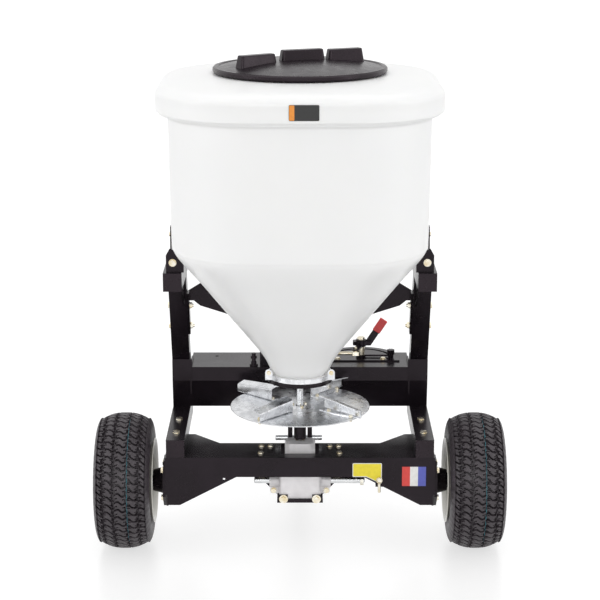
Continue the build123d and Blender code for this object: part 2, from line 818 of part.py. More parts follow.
def gearbox_cradle():
    """The black sheet that carries the casting: two arms, a tray under it and a bolted lip."""
    y, low = -BOX_HALF_Y, BOX_BOTTOM - CRADLE_T
    top = BEAM_TOP - SHEET
    near, far = y - CRADLE_T, FLANGE_T + CRADLE_T
    solid = block((-64, 64), (near, far), (low, BOX_BOTTOM))
    solid += block((-64, 64), (near, y), (low, low + 11))
    for side in SIDES:
        lug_x = sorted((side * 34, side * 60))
        solid += block(lug_x, (near, y), (low, CRADLE_BOLT_H + 12))
        arm = [(98, top), (98, 178), (64, low), (BOX_HALF_X + SLIP, low), (BOX_HALF_X + SLIP, top)]
        solid += mirrored(back_prism(arm, FLANGE_T, far), side)
        solid += block(sorted((side * 70, side * 122)), (-78, far), (top - CRADLE_T, top))
        boss_x = (side * (BOX_HALF_X - 5), side * (FLANGE_X + 2 + SLIP))
        solid -= rod((boss_x[0], 0, AXLE_H), (boss_x[1], 0, AXLE_H), BOSS_R + SLIP)
    solid -= rod((-BEAM_HALF, 0, AXLE_H), (BEAM_HALF, 0, AXLE_H), SHAFT_R + SLIP)
    solid = drilled(solid, WEB_BOLTS, (0, 0, -1), WEB_BOLT_R, SHEET + 10)
    solid = drilled(solid, flange_places(), (0, 1, 0), M8_R, 60)
    return drilled(solid, cradle_places(), (0, 1, 0), M8_R, CRADLE_T)


# ---------------------------------------------------------------- spinner
YOKE_TOP = 400.0
YOKE_LEG = (21.0, 34.0)


def spinner_yoke():
    """Two legs bolted on the casting's neck, with a steadying plate round the shaft."""
    y0, y1 = NECK_FRONT, NECK_FRONT + 6
    legs = [block((a, b), (y0, y1), (262, YOKE_TOP)) for a, b in (YOKE_LEG, (-YOKE_LEG[1], -YOKE_LEG[0]))]
    plate = block((-YOKE_LEG[1], YOKE_LEG[1]), (-18, y1), (YOKE_TOP - 5, YOKE_TOP))
    plate = fillet(plate.edges().filter_by(Axis.Z), 4)
    solid = legs[0] + legs[1] + plate
    return solid - rod((0, 0, YOKE_TOP - 10), (0, 0, YOKE_TOP + 5), SPINNER_R + RUN)


def retaining_rod():
    """The cross bar that lies behind the yoke's legs."""
    y = NECK_FRONT + 6 + 7
    bar = rod((-69, y, 306), (62, y, 306), 7)
    return chamfer(bar.edges().filter_by(GeomType.CIRCLE), 1)


SHAFT_TOP = 566.0
PINION_TOP = (
    AXLE_H
    + PINION_R / math.tan(CONE_PINION)
    + 1.2 * GEAR_MODULE * math.sin(CONE_PINION)
    + 2.5
)
AGITATOR_H = 540.0


def spinner_shaft():
    """The upright shaft from the pinion into the hopper."""
    low, shoulder = AXLE_H + 20.0, PINION_TOP
    shaft = rod((0, 0, shoulder), (0, 0, SHAFT_TOP), SPINNER_R)
    tail = rod((0, 0, low), (0, 0, shoulder), SPINNER_R - 3)
    shaft = shaft + tail
    shaft -= rod((0, -20, 457), (0, 20, 457), 2.5)
    return shaft - rod((-30, 0, AGITATOR_H), (30, 0, AGITATOR_H), 3.2)


def agitator_pin():
    """The cross pin that keeps the outlet running."""
    pin = rod((-52, 0, AGITATOR_H), (52, 0, AGITATOR_H), 3.2)
    return chamfer(pin.edges().filter_by(GeomType.CIRCLE), 0.8)


def shaft_coupler():
    """The black sleeve that joins the gearbox stub to the disc's shaft, with its screws."""
    low, high = NECK_TOP + 4, YOKE_TOP - 7
    sleeve = rod((0, 0, low), (0, 0, high), COUPLER_R)
    sleeve = chamfer(sleeve.edges().filter_by(GeomType.CIRCLE), 1)
    sleeve -= rod((0, 0, low - 1), (0, 0, high + 1), SPINNER_R)
    for z in (low + 14, high - 14):
        sleeve += rod((0, -SPINNER_R - 2, z), (0, -COUPLER_R - 2, z), 3.5)
    return sleeve


def disc_hub():
    """The flange under the disc."""
    hub = rod((0, 0, YOKE_TOP + 2), (0, 0, DISC_H - DISC_T), 30)
    hub -= rod((0, 0, YOKE_TOP), (0, 0, DISC_H), SPINNER_R)
    return drilled(hub, hub_bolt_places(), (0, 0, -1), M5_R, 12)


def hub_bolt_places():
    return [
        (21 * math.cos(math.radians(a)), 21 * math.sin(math.radians(a)), DISC_H)
        for a in (45, 165, 285)
    ]


def spinner_disc():
    """The flat spreading plate with its rolled edge."""
    disc = rod((0, 0, DISC_H - DISC_T), (0, 0, DISC_H), DISC_R)
    disc -= rod((0, 0, DISC_H - 10), (0, 0, DISC_H + 10), SPINNER_R)
    disc = drilled(disc, hub_bolt_places(), (0, 0, -1), M5_R, 12)
    return drilled(disc, fin_bolt_places(), (0, 0, -1), M6_R, DISC_T)


FIN_ANGLES = (57.0, 141.0, 238.0, 325.0)
FIN_START = 52.0
FIN_END = 188.0
FIN_FLOOR = 34.0
FIN_BRIM = 22.0
FIN_T = 2.0
FIN_HOLES = (74.0, 160.0)


def fin_frame(angle):
    """Where a fin lies: out along the disc, turned a little from the radius."""
    return Rot(0, 0, angle) * Pos(0, 12, DISC_H)


def fin(angle):
    """A channel: floor on the disc, upright wall, and a turned-over top edge."""
    floor = block((FIN_START, FIN_END), (-FIN_FLOOR, 0), (0, FIN_T))
    wall = block((FIN_START, FIN_END), (-FIN_T, 0), (0, FIN_H))
    brim = block((FIN_START, FIN_END - 6), (-FIN_BRIM, 0), (FIN_H - FIN_T, FIN_H))
    solid = floor + wall + brim
    solid = fin_frame(angle) * solid
    solid &= rod((0, 0, DISC_H - 1), (0, 0, DISC_H + 100), DISC_R - 0.5)
    return drilled(solid, fin_bolt_places(angle), (0, 0, -1), M6_R, DISC_T)


def fin_bolt_places(only=None):
    """The fins' screw heads, on the fins' floors."""
    angles = FIN_ANGLES if only is None else (only,)
    out = []
    for angle in angles:
        for reach in FIN_HOLES:
            spot = (fin_frame(angle) * Pos(reach, -FIN_FLOOR * 0.82, FIN_T)).position
            out.append((spot.X, spot.Y, spot.Z))
    return out


# ---------------------------------------------------------------- hopper
def squircle(z, half, corner):
    """A rounded square section at a height."""
    return Plane.XY.offset(z) * RectangleRounded(2 * half, 2 * half, corner)


def funnel_sections(inset):
    """Heights and sizes from the outlet to the top of the body."""
    rows = []
    for rise, spread, rounding in FUNNEL:
        z = OUTLET_H + rise * (SHOULDER_H - OUTLET_H)
        half = OUTLET_R + spread * (HOPPER_HALF - OUTLET_R)
        corner = OUTLET_R - 0.4 + rounding * (HOPPER_CORNER - OUTLET_R)
        rows.append((z, half, min(corner, half - 0.4)))
    rows.append((LIP_H, HOPPER_HALF + 5, HOPPER_CORNER + 3))
    return [(z, half - inset, corner - inset) for z, half, corner in rows]


FUNNEL = (
    (0.0, 0.0, 0.0),
    (0.0225, 0.045, 0.075),
    (0.1675, 0.160, 0.250),
    (0.4750, 0.491, 0.595),
    (0.7175, 0.745, 0.804),
    (0.8300, 0.873, 0.902),
    (0.9500, 0.993, 0.987),
    (1.0, 1.0, 1.0),
)


def stack(rows):
    """A ruled loft through rounded squares."""
    return loft([squircle(*row) for row in rows], ruled=True)


def hopper():
    """One rotomoulded shell: foot flange, funnel, body, rolled lip and crown."""
    w = HOPPER_WALL
    outer = stack(funnel_sections(0))
    lip = stack([(LIP_H, LIP_HALF - 8, LIP_CORNER), (LIP_H + 10, LIP_HALF, LIP_CORNER)])
    lip += stack([(LIP_H + 10, LIP_HALF, LIP_CORNER), (LIP_TOP - 20, LIP_HALF - 3, LIP_CORNER)])
    top = LIP_TOP
    lip += stack(
        [
            (top - 20, LIP_HALF - 3, LIP_CORNER),
            (top - 6, LIP_HALF - 9, LIP_CORNER - 6),
            (top, LIP_HALF - 22, LIP_CORNER - 18),
            (CROWN_H, CROWN_R, CROWN_R - 0.5),
        ]
    )
    rows = funnel_sections(w)
    rows[0] = (OUTLET_H - 1, OUTLET_R - w, OUTLET_R - w - 0.4)
    inner = stack(rows)
    step = (HOPPER_HALF - 1, HOPPER_CORNER - 3)
    inner += stack([(LIP_H - 1, *step), (LIP_H + w + 2, *step)])
    inner += stack(
        [
            (LIP_H + w + 2, LIP_HALF - 9, LIP_CORNER - w),
            (top - 22, LIP_HALF - 10, LIP_CORNER - w),
            (top - 8, LIP_HALF - 28, LIP_CORNER - 24),
            (CROWN_H - w, CROWN_R - 2, CROWN_R - 2.5),
        ]
    )
    foot = rod((0, 0, FOOT_H), (0, 0, OUTLET_H + 4), FOOT_R)
    mouth = rod((0, 0, CROWN_H - 30), (0, 0, CROWN_H + 10), FILL_R)
    drain = rod((0, 0, FOOT_H - 5), (0, 0, OUTLET_H + 1), OUTLET_R - w)
    shell = (outer + lip + foot) - inner - mouth - drain
    shell = blind(shell, ring_bolt_places(), (0, 0, 1), M4_R, 8)
    for place, way in side_bolts():
        shell = blind(shell, [place], way, M6_R, SIDE_BOLT_REACH)
    return shell


SIDE_BOLT_REACH = 11.0


def side_bolts():
    """The screws through the brackets' fins into the shoulder: (head place, direction)."""
    x, y, z = BRACKET_SIDE_BOLT
    return [((side * x, y, z), (-side, 0, 0)) for side in SIDES]


FOOT_H = 500.0
FOOT_R = 84.0
RING_R = 89.0
EAR_Y = 106.0


def ring_bolt_places():
    """Screw heads under the ring, driven up into the hopper's foot flange."""
    return [
        (77 * math.cos(math.radians(a)), 77 * math.sin(math.radians(a)), FOOT_H - 3)
        for a in (60, 120, 240, 300)
    ]


def outlet_ring():
    """The galvanised cup under the foot: plate, band, two forward ears and two upright tabs."""
    low = FOOT_H - 3
    solid = rod((0, 0, low), (0, 0, FOOT_H + 10), RING_R)
    solid -= rod((0, 0, FOOT_H), (0, 0, FOOT_H + 11), RING_R - 2.5)
    for x in STAY_X:
        ear = block((x - 11, x + 11), (60, EAR_Y + 11), (low, FOOT_H))
        solid += ear - rod((0, 0, low - 1), (0, 0, FOOT_H + 1), RING_R - 1)
    for x, y, z in TAB_BOLTS:
        tab = block((x - 10, x + 10), (y, y + 3), (low, z)) + rod((x, y, z), (x, y + 3, z), 10)
        solid += tab - rod((0, 0, low - 1), (0, 0, z + 20), RING_R - 2)
    solid -= rod((0, 0, low - 1), (0, 0, FOOT_H + 1), OUTLET_R - HOPPER_WALL)
    solid = blind(solid, ring_bolt_places(), (0, 0, 1), M4_R, 8)
    solid = drilled(solid, TAB_BOLTS, (0, 1, 0), M6_R, 3)
    return drilled(solid, EAR_BOLTS, (0, 0, -1), M8_R, 6)


TAB_BOLTS = [(side * 86.0, -44.0, FOOT_H + 17) for side in SIDES]
STAY_X = (-68.0, 24.0)
STAY_T = 3.0
EAR_BOLTS = [(x, EAR_Y, FOOT_H + STAY_T) for x in STAY_X]
BASE_TOP = 488.0
BASE_T = 3.0
GATE_TOP = BASE_TOP - BASE_T - SLIP
GATE_HALF_Y = 58.0
GATE_HALF_X = 72.0
GATE_TRAVEL = 2 * CRANK_R * math.tan(math.radians(GATE_SWING / 2))
PORT = (16.0, 16.0 + GATE_TRAVEL)
PORT_HALF_Y = 40.0


def outlet_stay(x):
    """The plate that stands on the shelf behind the funnel, with a strap to a ring ear."""
    t = STAY_T
    y = CROSS_BACK + 14
    outer = x - 48 if x < 0 else x - 11
    strap = block((x - 11, x + 11), (EAR_Y - 12, y), (FOOT_H, FOOT_H + t))
    plate = block((outer, x + 11), (y - t, y), (CROSS_TOP, FOOT_H + t + 6))
    foot = block((outer, x + 11), (y - t, y + 24), (CROSS_TOP, CROSS_TOP + t))
    solid = drilled(strap + plate + foot, EAR_BOLTS, (0, 0, -1), M8_R, 6)
    return drilled(solid, STAY_BOLTS, (0, 0, -1), M8_R, 6)


STAY_BOLTS = [(x, CROSS_BACK + 27, CROSS_TOP + STAY_T) for x in STAY_X]


def gate_base():
    """The fixed plate under the ring, with the port and two runners for the gate."""
    low = BASE_TOP - BASE_T
    plate = rod((0, 0, low), (0, 0, BASE_TOP), RING_R)
    plate -= block(PORT, (-PORT_HALF_Y, PORT_HALF_Y), (low - 1, BASE_TOP + 1))
    plate -= rod((0, 0, low - 1), (0, 0, BASE_TOP + 1), SPINNER_R + 1.5)
    plate += rod((0, 0, low), (0, 0, FOOT_H - 3), RING_R - 1) - rod(
        (0, 0, low - 1), (0, 0, FOOT_H), RING_R - 5
    )
    drop = GATE_T + 2 * SLIP
    for side in SIDES:
        y0, y1 = sorted((side * (GATE_HALF_Y + SLIP), side * (GATE_HALF_Y + 4)))
        plate += block((-50, 36), (y0, y1), (low - drop - 2, low + 0.5))
        y0, y1 = sorted((side * (GATE_HALF_Y - 6), side * (GATE_HALF_Y + 4)))
        plate += block((-50, 36), (y0, y1), (low - drop - 2, low - drop))
    return plate


def gate_shutter():
    """The sliding plate: its window comes under the port as it moves to the right."""
    low = GATE_TOP - GATE_T
    plate = block((-GATE_HALF_X, GATE_HALF_X), (-GATE_HALF_Y, GATE_HALF_Y), (low, GATE_TOP))
    arm = block((GATE_ARM_X - 12, GATE_ARM_X + 12), (GATE_HALF_Y - 1, ROD_Y + 8), (low, GATE_TOP))
    window = block(
        (PORT[0] - GATE_TRAVEL, PORT[1] - GATE_TRAVEL),
        (-PORT_HALF_Y, PORT_HALF_Y),
        (low - 1, GATE_TOP + 1),
    )
    back = PORT[0] - GATE_TRAVEL
    slot = block(
        (-GATE_TRAVEL - 12, back + 1), (-12, 12), (low - 1, GATE_TOP + 1)
    )
    return plate + arm - window - slot


GATE_ARM_X = 58.0
ROD_Y = PIVOT_Y - CRANK_R
ROD_R = 5.0
ROD_H = GATE_TOP + ROD_R
SWIVEL_X = PIVOT_X - GATE_TRAVEL / 2
CRANK_H = ROD_H + 10.0
CRANK_PIN_R = 4.0


def gate_rod():
    """The light rod that the lever pulls, fixed on the gate's arm."""
    return rod((GATE_ARM_X - 8, ROD_Y, ROD_H), (SWIVEL_X - 11, ROD_Y, ROD_H), ROD_R)


def swivel_block():
    """The zinc block on the rod's end, with the pin that runs in the crank's slot."""
    solid = Pos(SWIVEL_X, ROD_Y, ROD_H) * Box(22, 15, 11)
    solid = chamfer(solid.edges().filter_by(Axis.Z), 2)
    return solid + rod((SWIVEL_X, ROD_Y, ROD_H), (SWIVEL_X, ROD_Y, CRANK_H + 9), CRANK_PIN_R)


def crank_arm():
    """The slotted crank of the lever, at rest turned back by half the swing."""
    bar = block((-9, 9), (-CRANK_R - 16, 0), (CRANK_H, CRANK_H + 4))
    bar = fillet(bar.edges().filter_by(Axis.Z), 5)
    reach = CRANK_R / math.cos(math.radians(GATE_SWING / 2))
    slot = block(
        (-CRANK_PIN_R - 1, CRANK_PIN_R + 1),
        (-reach - 4.6, -CRANK_R + 4.6),
        (CRANK_H - 1, CRANK_H + 5),
    )
    return bar - slot


PIVOT_BOLT_R = 6.0
LEVER_H = CRANK_H + 4.0


def gate_lever():
    """Crank, head and flat upswept handle, turning on the pivot bolt."""
    turn = Rot(0, 0, -GATE_SWING / 2)
    hub = rod((0, 0, CRANK_H), (0, 0, LEVER_H + 16), 15)
    head = block((-24, 30), (-12, 12), (LEVER_H, LEVER_H + 12))
    head = fillet(head.edges().filter_by(Axis.Z), 6)
    solid = turn * crank_arm() + hub + head
    solid += handle_bar(0, HANDLE_REACH, HANDLE_W, HANDLE_T)
    solid -= rod((0, 0, CRANK_H - 5), (0, 0, LEVER_H + 30), PIVOT_BOLT_R + RUN)
    return Pos(PIVOT_X, PIVOT_Y, 0) * solid


HANDLE_REACH = 80.0
HANDLE_TILT = 57.0
HANDLE_W = 20.0
HANDLE_T = 5.0
GRIP_START = 40.0


def handle_bar(start, end, width, thick):
    """A flat bar along the handle's line, between two reaches from the head."""
    bar = Box(end - start, thick, width)
    return Pos(22, 0, LEVER_H + 6) * Rot(0, -HANDLE_TILT, 0) * Pos((start + end) / 2, 0, 0) * bar


def lever_grip():
    """The dipped red sleeve on the handle's end."""
    sleeve = handle_bar(GRIP_START, HANDLE_REACH + 3, HANDLE_W + 4, HANDLE_T + 4)
    sleeve = fillet(sleeve.edges(), 1.8)
    sleeve -= handle_bar(GRIP_START - 5, HANDLE_REACH, HANDLE_W, HANDLE_T)
    return Pos(PIVOT_X, PIVOT_Y, 0) * sleeve


QUADRANT_R = 112.0
QUADRANT_T = 4.0
STOP_R = 88.0
STOP_SLOT = (0.0, 130.0)
QUADRANT_BOLTS = [(x, 277.0, CROSS_TOP + QUADRANT_T) for x in (110.0, 243.0)]


def quadrant_plate():
    """The half-round plate that the stop knob clamps on."""
    z0, z1 = CROSS_TOP, CROSS_TOP + QUADRANT_T
    disc = rod((PIVOT_X, PIVOT_Y, z0), (PIVOT_X, PIVOT_Y, z1), QUADRANT_R)
    disc &= block((0, 400), (PIVOT_Y - 6, 500), (z0, z1))
    foot = block(
        (PIVOT_X - QUADRANT_R + 22, PIVOT_X + QUADRANT_R), (264, PIVOT_Y), (z0, z1)
    )
    plate = disc + foot
    width = STOP_STUD_R + 1
    ring = rod((0, 0, z0 - 1), (0, 0, z1 + 1), STOP_R + width) - rod(
        (0, 0, z0 - 2), (0, 0, z1 + 2), STOP_R - width
    )
    sweep = [math.radians(STOP_SLOT[1] * i / 6) for i in range(7)]
    reach = 2 * QUADRANT_R
    rim = [(reach * math.cos(a), reach * math.sin(a)) for a in sweep]
    wedge = prism([(0, 0)] + rim, Plane.XY.offset(z0 - 1), QUADRANT_T + 2)
    slot = ring & wedge
    for a in STOP_SLOT:
        x, y = STOP_R * math.cos(math.radians(a)), STOP_R * math.sin(math.radians(a))
        slot += rod((x, y, z0 - 1), (x, y, z1 + 1), width)
    plate -= Pos(PIVOT_X, PIVOT_Y, 0) * slot
    plate -= rod((PIVOT_X, PIVOT_Y, z0 - 1), (PIVOT_X, PIVOT_Y, z1 + 1), PIVOT_BOLT_R)
    return drilled(plate, QUADRANT_BOLTS, (0, 0, -1), M8_R, 12)


STOP_STUD_R = 4.0
STOP_ARM_H = CROSS_TOP + QUADRANT_T + SLIP


def stop_arm():
    """The rod that swings about the pivot, with its stud through the arc slot."""
    z = STOP_ARM_H + 4
    hub = rod((0, 0, STOP_ARM_H), (0, 0, STOP_ARM_H + 8), 14)
    bar = rod((12, 0, z), (STOP_R, 0, z), 3)
    eye = rod((STOP_R, 0, STOP_ARM_H), (STOP_R, 0, STOP_ARM_H + 8), 8)
    stud = rod((STOP_R, 0, CROSS_TOP + SLIP), (STOP_R, 0, STOP_ARM_H + 2), STOP_STUD_R)
    solid = hub + bar + eye + stud
    solid -= rod((0, 0, 0), (0, 0, 900), PIVOT_BOLT_R + RUN)
    return Pos(PIVOT_X, PIVOT_Y, 0) * (solid + stop_knob())


def stop_knob():
    """The fluted knob on the stop arm."""
    z0 = STOP_ARM_H + 8
    knob = rod((STOP_R, 0, z0), (STOP_R, 0, z0 + 14), 11)
    for i in range(8):
        a = math.radians(45 * i)
        x, y = STOP_R + 12.5 * math.cos(a), 12.5 * math.sin(a)
        knob -= rod((x, y, z0 - 1), (x, y, z0 + 20), 3)
    return knob


def pivot_bolt():
    """The bolt that the lever and the stop arm turn on, with spacer and nut."""
    low = CROSS_TOP - CROSS_T
    solid = rod((0, 0, low - 6), (0, 0, LEVER_H + 24), PIVOT_BOLT_R)
    solid += hex_prism((0, 0, low), (0, 0, -1), 19, 8)
    solid += hex_prism((0, 0, LEVER_H + 16 + SLIP), (0, 0, 1), 19, 7)
    solid += rod((0, 0, STOP_ARM_H + 8 + SLIP), (0, 0, CRANK_H - SLIP), 11)
    return Pos(PIVOT_X, PIVOT_Y, 0) * solid


def clamp_knob():
    """The black stacked knob on the shelf, beside the left stay."""
    x, y = KNOB_AT
    knob = rod((x, y, CROSS_TOP), (x, y, CROSS_TOP + 6), 12)
    for i, r in enumerate((8, 6, 9, 6)):
        z0 = CROSS_TOP + 6 + 8 * i
        knob += rod((x, y, z0), (x, y, z0 + 8), r)
    return knob


KNOB_AT = (-134.0, CROSS_BACK + 20.0)


# ---------------------------------------------------------------- lid
GRIP_BLOCKS = (
    (-115.0, -53.0, 35.0, 118.0, -7.0),
    (5.0, 11.0, 22.0, 128.0, 0.0),
    (120.0, 60.0, 24.0, 108.0, -3.0),
)
GRIP_W = 36.0


def dome_arc(edge_r, edge_z, top_z):
    """The dome's curve from its edge to the axis, as an arc in radius and height."""
    mid = (edge_r / 2, edge_z + (top_z - edge_z) * 0.75)
    return ThreePointArc((edge_r, edge_z), mid, (0, top_z))


def lid():
    """The round domed lid: rolled rim, plug ring and the three-part grip bar."""
    under = CROWN_H + SLIP
    plug_in, plug_out = FILL_R - 9, FILL_R - 3
    inner_z = LID_TOP - LID_WALL
    rim = [
        (plug_in, inner_z),
        (plug_in, under - 22),
        (plug_out, under - 22),
        (plug_out, under),
        (LID_R - 5, under),
        (LID_R, under + 6),
        (LID_R, LID_TOP - 4),
        (LID_R - 4, LID_TOP),
        (LID_R - 13, LID_TOP),
        (LID_R - 15, LID_TOP - 2),
    ]
    edges = [Line(a, b) for a, b in zip(rim, rim[1:])]
    edges.append(dome_arc(LID_R - 15, LID_TOP - 2, LID_DOME))
    edges.append(Line((0, LID_DOME), (0, LID_DOME - LID_WALL)))
    edges.append(dome_arc(plug_in, inner_z, LID_DOME - LID_WALL))
    solid = revolve(Plane.XZ * make_face(Wire(edges)), Axis.Z)
    for x, y, turn, length, drop in GRIP_BLOCKS:
        solid += Pos(x, y, 0) * Rot(0, 0, turn) * grip_block(length, GRIP_TOP + drop)
    return solid


def grip_block(length, top):
    """One tapering lobe of the grip bar."""
    low = Plane.XY.offset(LID_TOP - 1) * RectangleRounded(length, GRIP_W, 8)
    high = Plane.XY.offset(top) * RectangleRounded(length - 12, GRIP_W - 10, 7)
    body = loft([low, high], ruled=True)
    return fillet(body.edges().group_by(Axis.Z)[-1], 4)


# ---------------------------------------------------------------- wheels
RIM_SEAT = 82.0


def tyre():
    """A hollow turf tyre about the X axis, centred on the origin."""
    outer_r, half = TYRE_D / 2, TYRE_W / 2
    shoulder = (outer_r - 15, half - 9)
    bulge = (128.0, half)
    lip = RIM_SEAT + 15
    with_outer = [
        Line((-50, RIM_SEAT), (-50, lip)),
        ThreePointArc((-50, lip), (-bulge[1], bulge[0]), (-shoulder[1], shoulder[0])),
        ThreePointArc((-shoulder[1], shoulder[0]), (0, outer_r), (shoulder[1], shoulder[0])),
        ThreePointArc((shoulder[1], shoulder[0]), (bulge[1], bulge[0]), (50, lip)),
        Line((50, lip), (50, RIM_SEAT)),
    ]
    seam = (shoulder[1] - 12, shoulder[0] - 12)
    seam_left = (-seam[0], seam[1])
    with_inner = [
        Line((50, RIM_SEAT), (40, RIM_SEAT)),
        Line((40, RIM_SEAT), (40, lip)),
        ThreePointArc((40, lip), (bulge[1] - 11, bulge[0]), seam),
        ThreePointArc(seam, (0, outer_r - 14), seam_left),
        ThreePointArc(seam_left, (-bulge[1] + 11, bulge[0]), (-40, lip)),
        Line((-40, lip), (-40, RIM_SEAT)),
        Line((-40, RIM_SEAT), (-50, RIM_SEAT)),
    ]
    face = make_face(Wire(with_outer + with_inner))
    solid = revolve(face, Axis.X)
    for x in (-44.0, -15.0, 15.0, 44.0):
        crown = outer_r - 15 * (x / shoulder[1]) ** 2
        groove = rod((x - 2.5, 0, 0), (x + 2.5, 0, 0), outer_r + 5)
        groove -= rod((x - 4, 0, 0), (x + 4, 0, 0), crown - 6)
        solid -= groove
    return solid


def rim(side):
    """Pressed steel rim: barrel, two flanges and a dished disc."""
    seat = RIM_SEAT - 0.2
    profile = [
        (-56, 92),
        (-52, 94),
        (-51, seat),
        (-30, seat),
        (-26, seat - 12),
        (26, seat - 12),
        (30, seat),
        (51, seat),
        (52, 94),
        (56, 92),
        (54, seat - 3),
        (33, seat - 3),
        (28, seat - 15),
        (14, seat - 15),
        (8, 44),
        (8, HUB_R + 1),
        (5, HUB_R + 1),
        (5, 45),
        (11, seat - 15),
        (-28, seat - 15),
        (-33, seat - 3),
        (-54, seat - 3),
    ]
    face = make_face(Polyline(*profile, close=True))
    solid = revolve(face, Axis.X)
    for y, z in stud_circle():
        solid -= rod((0, y, z), (30, y, z), STUD_R + SLIP)
    solid -= rod((4, 0, 55.5), (40, 0, 60.5), VALVE_R)
    return mirrored(solid, side)


STUD_R = 4.0
VALVE_R = 4.5


def stud_circle():
    """The five wheel studs' (y, z) places."""
    turns = [math.radians(72 * i) for i in range(5)]
    return [(40 * math.cos(a), 40 * math.sin(a)) for a in turns]


def valve_stem(side):
    """The rubber valve through the rim's disc."""
    stem = rod((4, 0, 55.5), (40, 0, 60.5), VALVE_R)
    return mirrored(stem, side)


def hub(side, driven):
    """The wheel hub with its flange; the driven one carries the sleeve that the shaft enters."""
    solid = rod((HUB_START, 0, 0), (36, 0, 0), HUB_R)
    solid += rod((8, 0, 0), (14, 0, 0), HUB_R + 13.5)
    if driven:
        mouth = SLEEVE_START - WHEEL_X
        solid += rod((mouth, 0, 0), (36, 0, 0), SLEEVE_R)
        solid -= rod((mouth - 5, 0, 0), (20, 0, 0), SHAFT_R + RUN)
        solid -= rod((mouth - 5, 0, 0), (mouth + SOCKET_DEPTH, 0, 0), COLLAR_R + SLIP)
        pinned = mouth + LOCK_X
        solid -= rod((pinned, -SLEEVE_R - 5, 0), (pinned, SLEEVE_R + 5, 0), PIN_HOLE_R)
    else:
        solid -= rod((HUB_START - 10, 0, 0), (60, 0, 0), BEARING_R)
    for y, z in stud_circle():
        solid += rod((-6, y, z), (10, y, z), STUD_R)
        solid += hex_prism((5, y, z), (-1, 0, 0), 13, 5)
    return mirrored(solid, side)


HUB_GAP = 5.0
HUB_START = BEAM_HALF + SHEET + SPINDLE_PLATE_T + SPINDLE_BOSS + HUB_GAP - WHEEL_X
SLEEVE_START = 213.0
SLEEVE_R = 20.0
SOCKET_DEPTH = SHAFT_RIGHT + SHAFT_TRAVEL - SLEEVE_START + 1.0
LOCK_X = PIN_X + SHAFT_TRAVEL - SLEEVE_START
BEARING_R = 20.0


def wheel_bearings():
    """Two bushed bearings on the plain spindle, for the free wheel."""
    out = []
    for x0, x1 in ((HUB_START, HUB_START + 23), (13, 36)):
        ring = rod((x0, 0, 0), (x1, 0, 0), BEARING_R) - rod((x0 - 1, 0, 0), (x1 + 1, 0, 0), SPINDLE_R + RUN)
        out.append(mirrored(ring, -1))
    return out


def dust_cap(side):
    """The cap on the hub's outer end."""
    cap = rod((36, 0, 0), (48, 0, 0), HUB_R - 2)
    cap = fillet(cap.edges().group_by(Axis.X)[-1], 5)
    if side < 0:
        cap -= rod((30, 0, 0), (44, 0, 0), 22)
    return mirrored(cap, side)


def spindle_plate(side):
    """The octagonal plate outside the end plate, with a tapered boss for the axle."""
    x0 = BEAM_HALF + SHEET
    plane = Plane(origin=(x0, 0, AXLE_H), z_dir=(1, 0, 0))
    plate = extrude(plane * Rot(0, 0, 22.5) * RegularPolygon(66, 8, major_radius=False), SPINDLE_PLATE_T)
    mid = x0 + SPINDLE_PLATE_T + SPINDLE_BOSS / 2
    boss = Pos(mid, 0, AXLE_H) * Rot(0, 90, 0) * Cone(38, BUSH_OUT + 5, SPINDLE_BOSS)
    stub = rod((x0 - 8, 0, AXLE_H), (x0 + 1, 0, AXLE_H), STUB_R - SLIP)
    solid = plate + boss + stub
    bore = BUSH_OUT if side > 0 else SPINDLE_R
    solid -= rod((x0 - 20, 0, AXLE_H), (x0 + 60, 0, AXLE_H), bore)
    solid = drilled(solid, spindle_places(), (-1, 0, 0), RAIL_BOLT_R, 20)
    return mirrored(solid, side)


BUSH_OUT = SLEEVE_R + 5.0
STUB_R = BUSH_OUT + 3.0


def axle_bush():
    """The bronze bush that the driven wheel's sleeve turns in."""
    x0, x1 = BEAM_HALF - 3, BEAM_HALF + SHEET + 40
    ring = rod((x0, 0, AXLE_H), (x1, 0, AXLE_H), BUSH_OUT)
    return ring - rod((x0 - 1, 0, AXLE_H), (x1 + 1, 0, AXLE_H), SLEEVE_R + RUN)


def left_spindle():
    """The fixed spindle of the free wheel, with its retaining nut."""
    x0, x1 = BEAM_HALF - 3, WHEEL_X + 40
    spindle = rod((-x0, 0, AXLE_H), (-x1, 0, AXLE_H), SPINDLE_R)
    nut = hex_prism((-(WHEEL_X + 36 + SLIP), 0, AXLE_H), (-1, 0, 0), 36, 5)
    return spindle + nut


# ---------------------------------------------------------------- axle pin
PIN_STUD = (219.0, BEAM_BACK, 229.0)
SPARE_HOLE = (-210.0, 228.0)
PIN_REACH = 28.0


def pin_stud():
    """The headed stud on the beam that the axle pin hangs from."""
    x, y, z = PIN_STUD
    return rod((x, y + 8, z), (x, y - 11, z), 3) + rod((x, y - 11, z), (x, y - 13, z), 6)


def axle_pin():
    """The hanging pull pin: a ring on the stud and a plain shank."""
    x, y, z = PIN_STUD
    ring_z = z - (RING_MID - WIRE_R - 3 - SLIP)
    ring = Pos(x, y - 5.5, ring_z) * Rot(90, 0, 0) * Torus(RING_MID, WIRE_R)
    top = ring_z - RING_MID
    shank = rod((x, y - 5.5, top + 0.5), (x, y - 5.5, top - PIN_REACH), 4)
    shank = chamfer(shank.edges().filter_by(GeomType.CIRCLE), 1)
    return ring + shank


RING_MID = 7.5
WIRE_R = 1.5


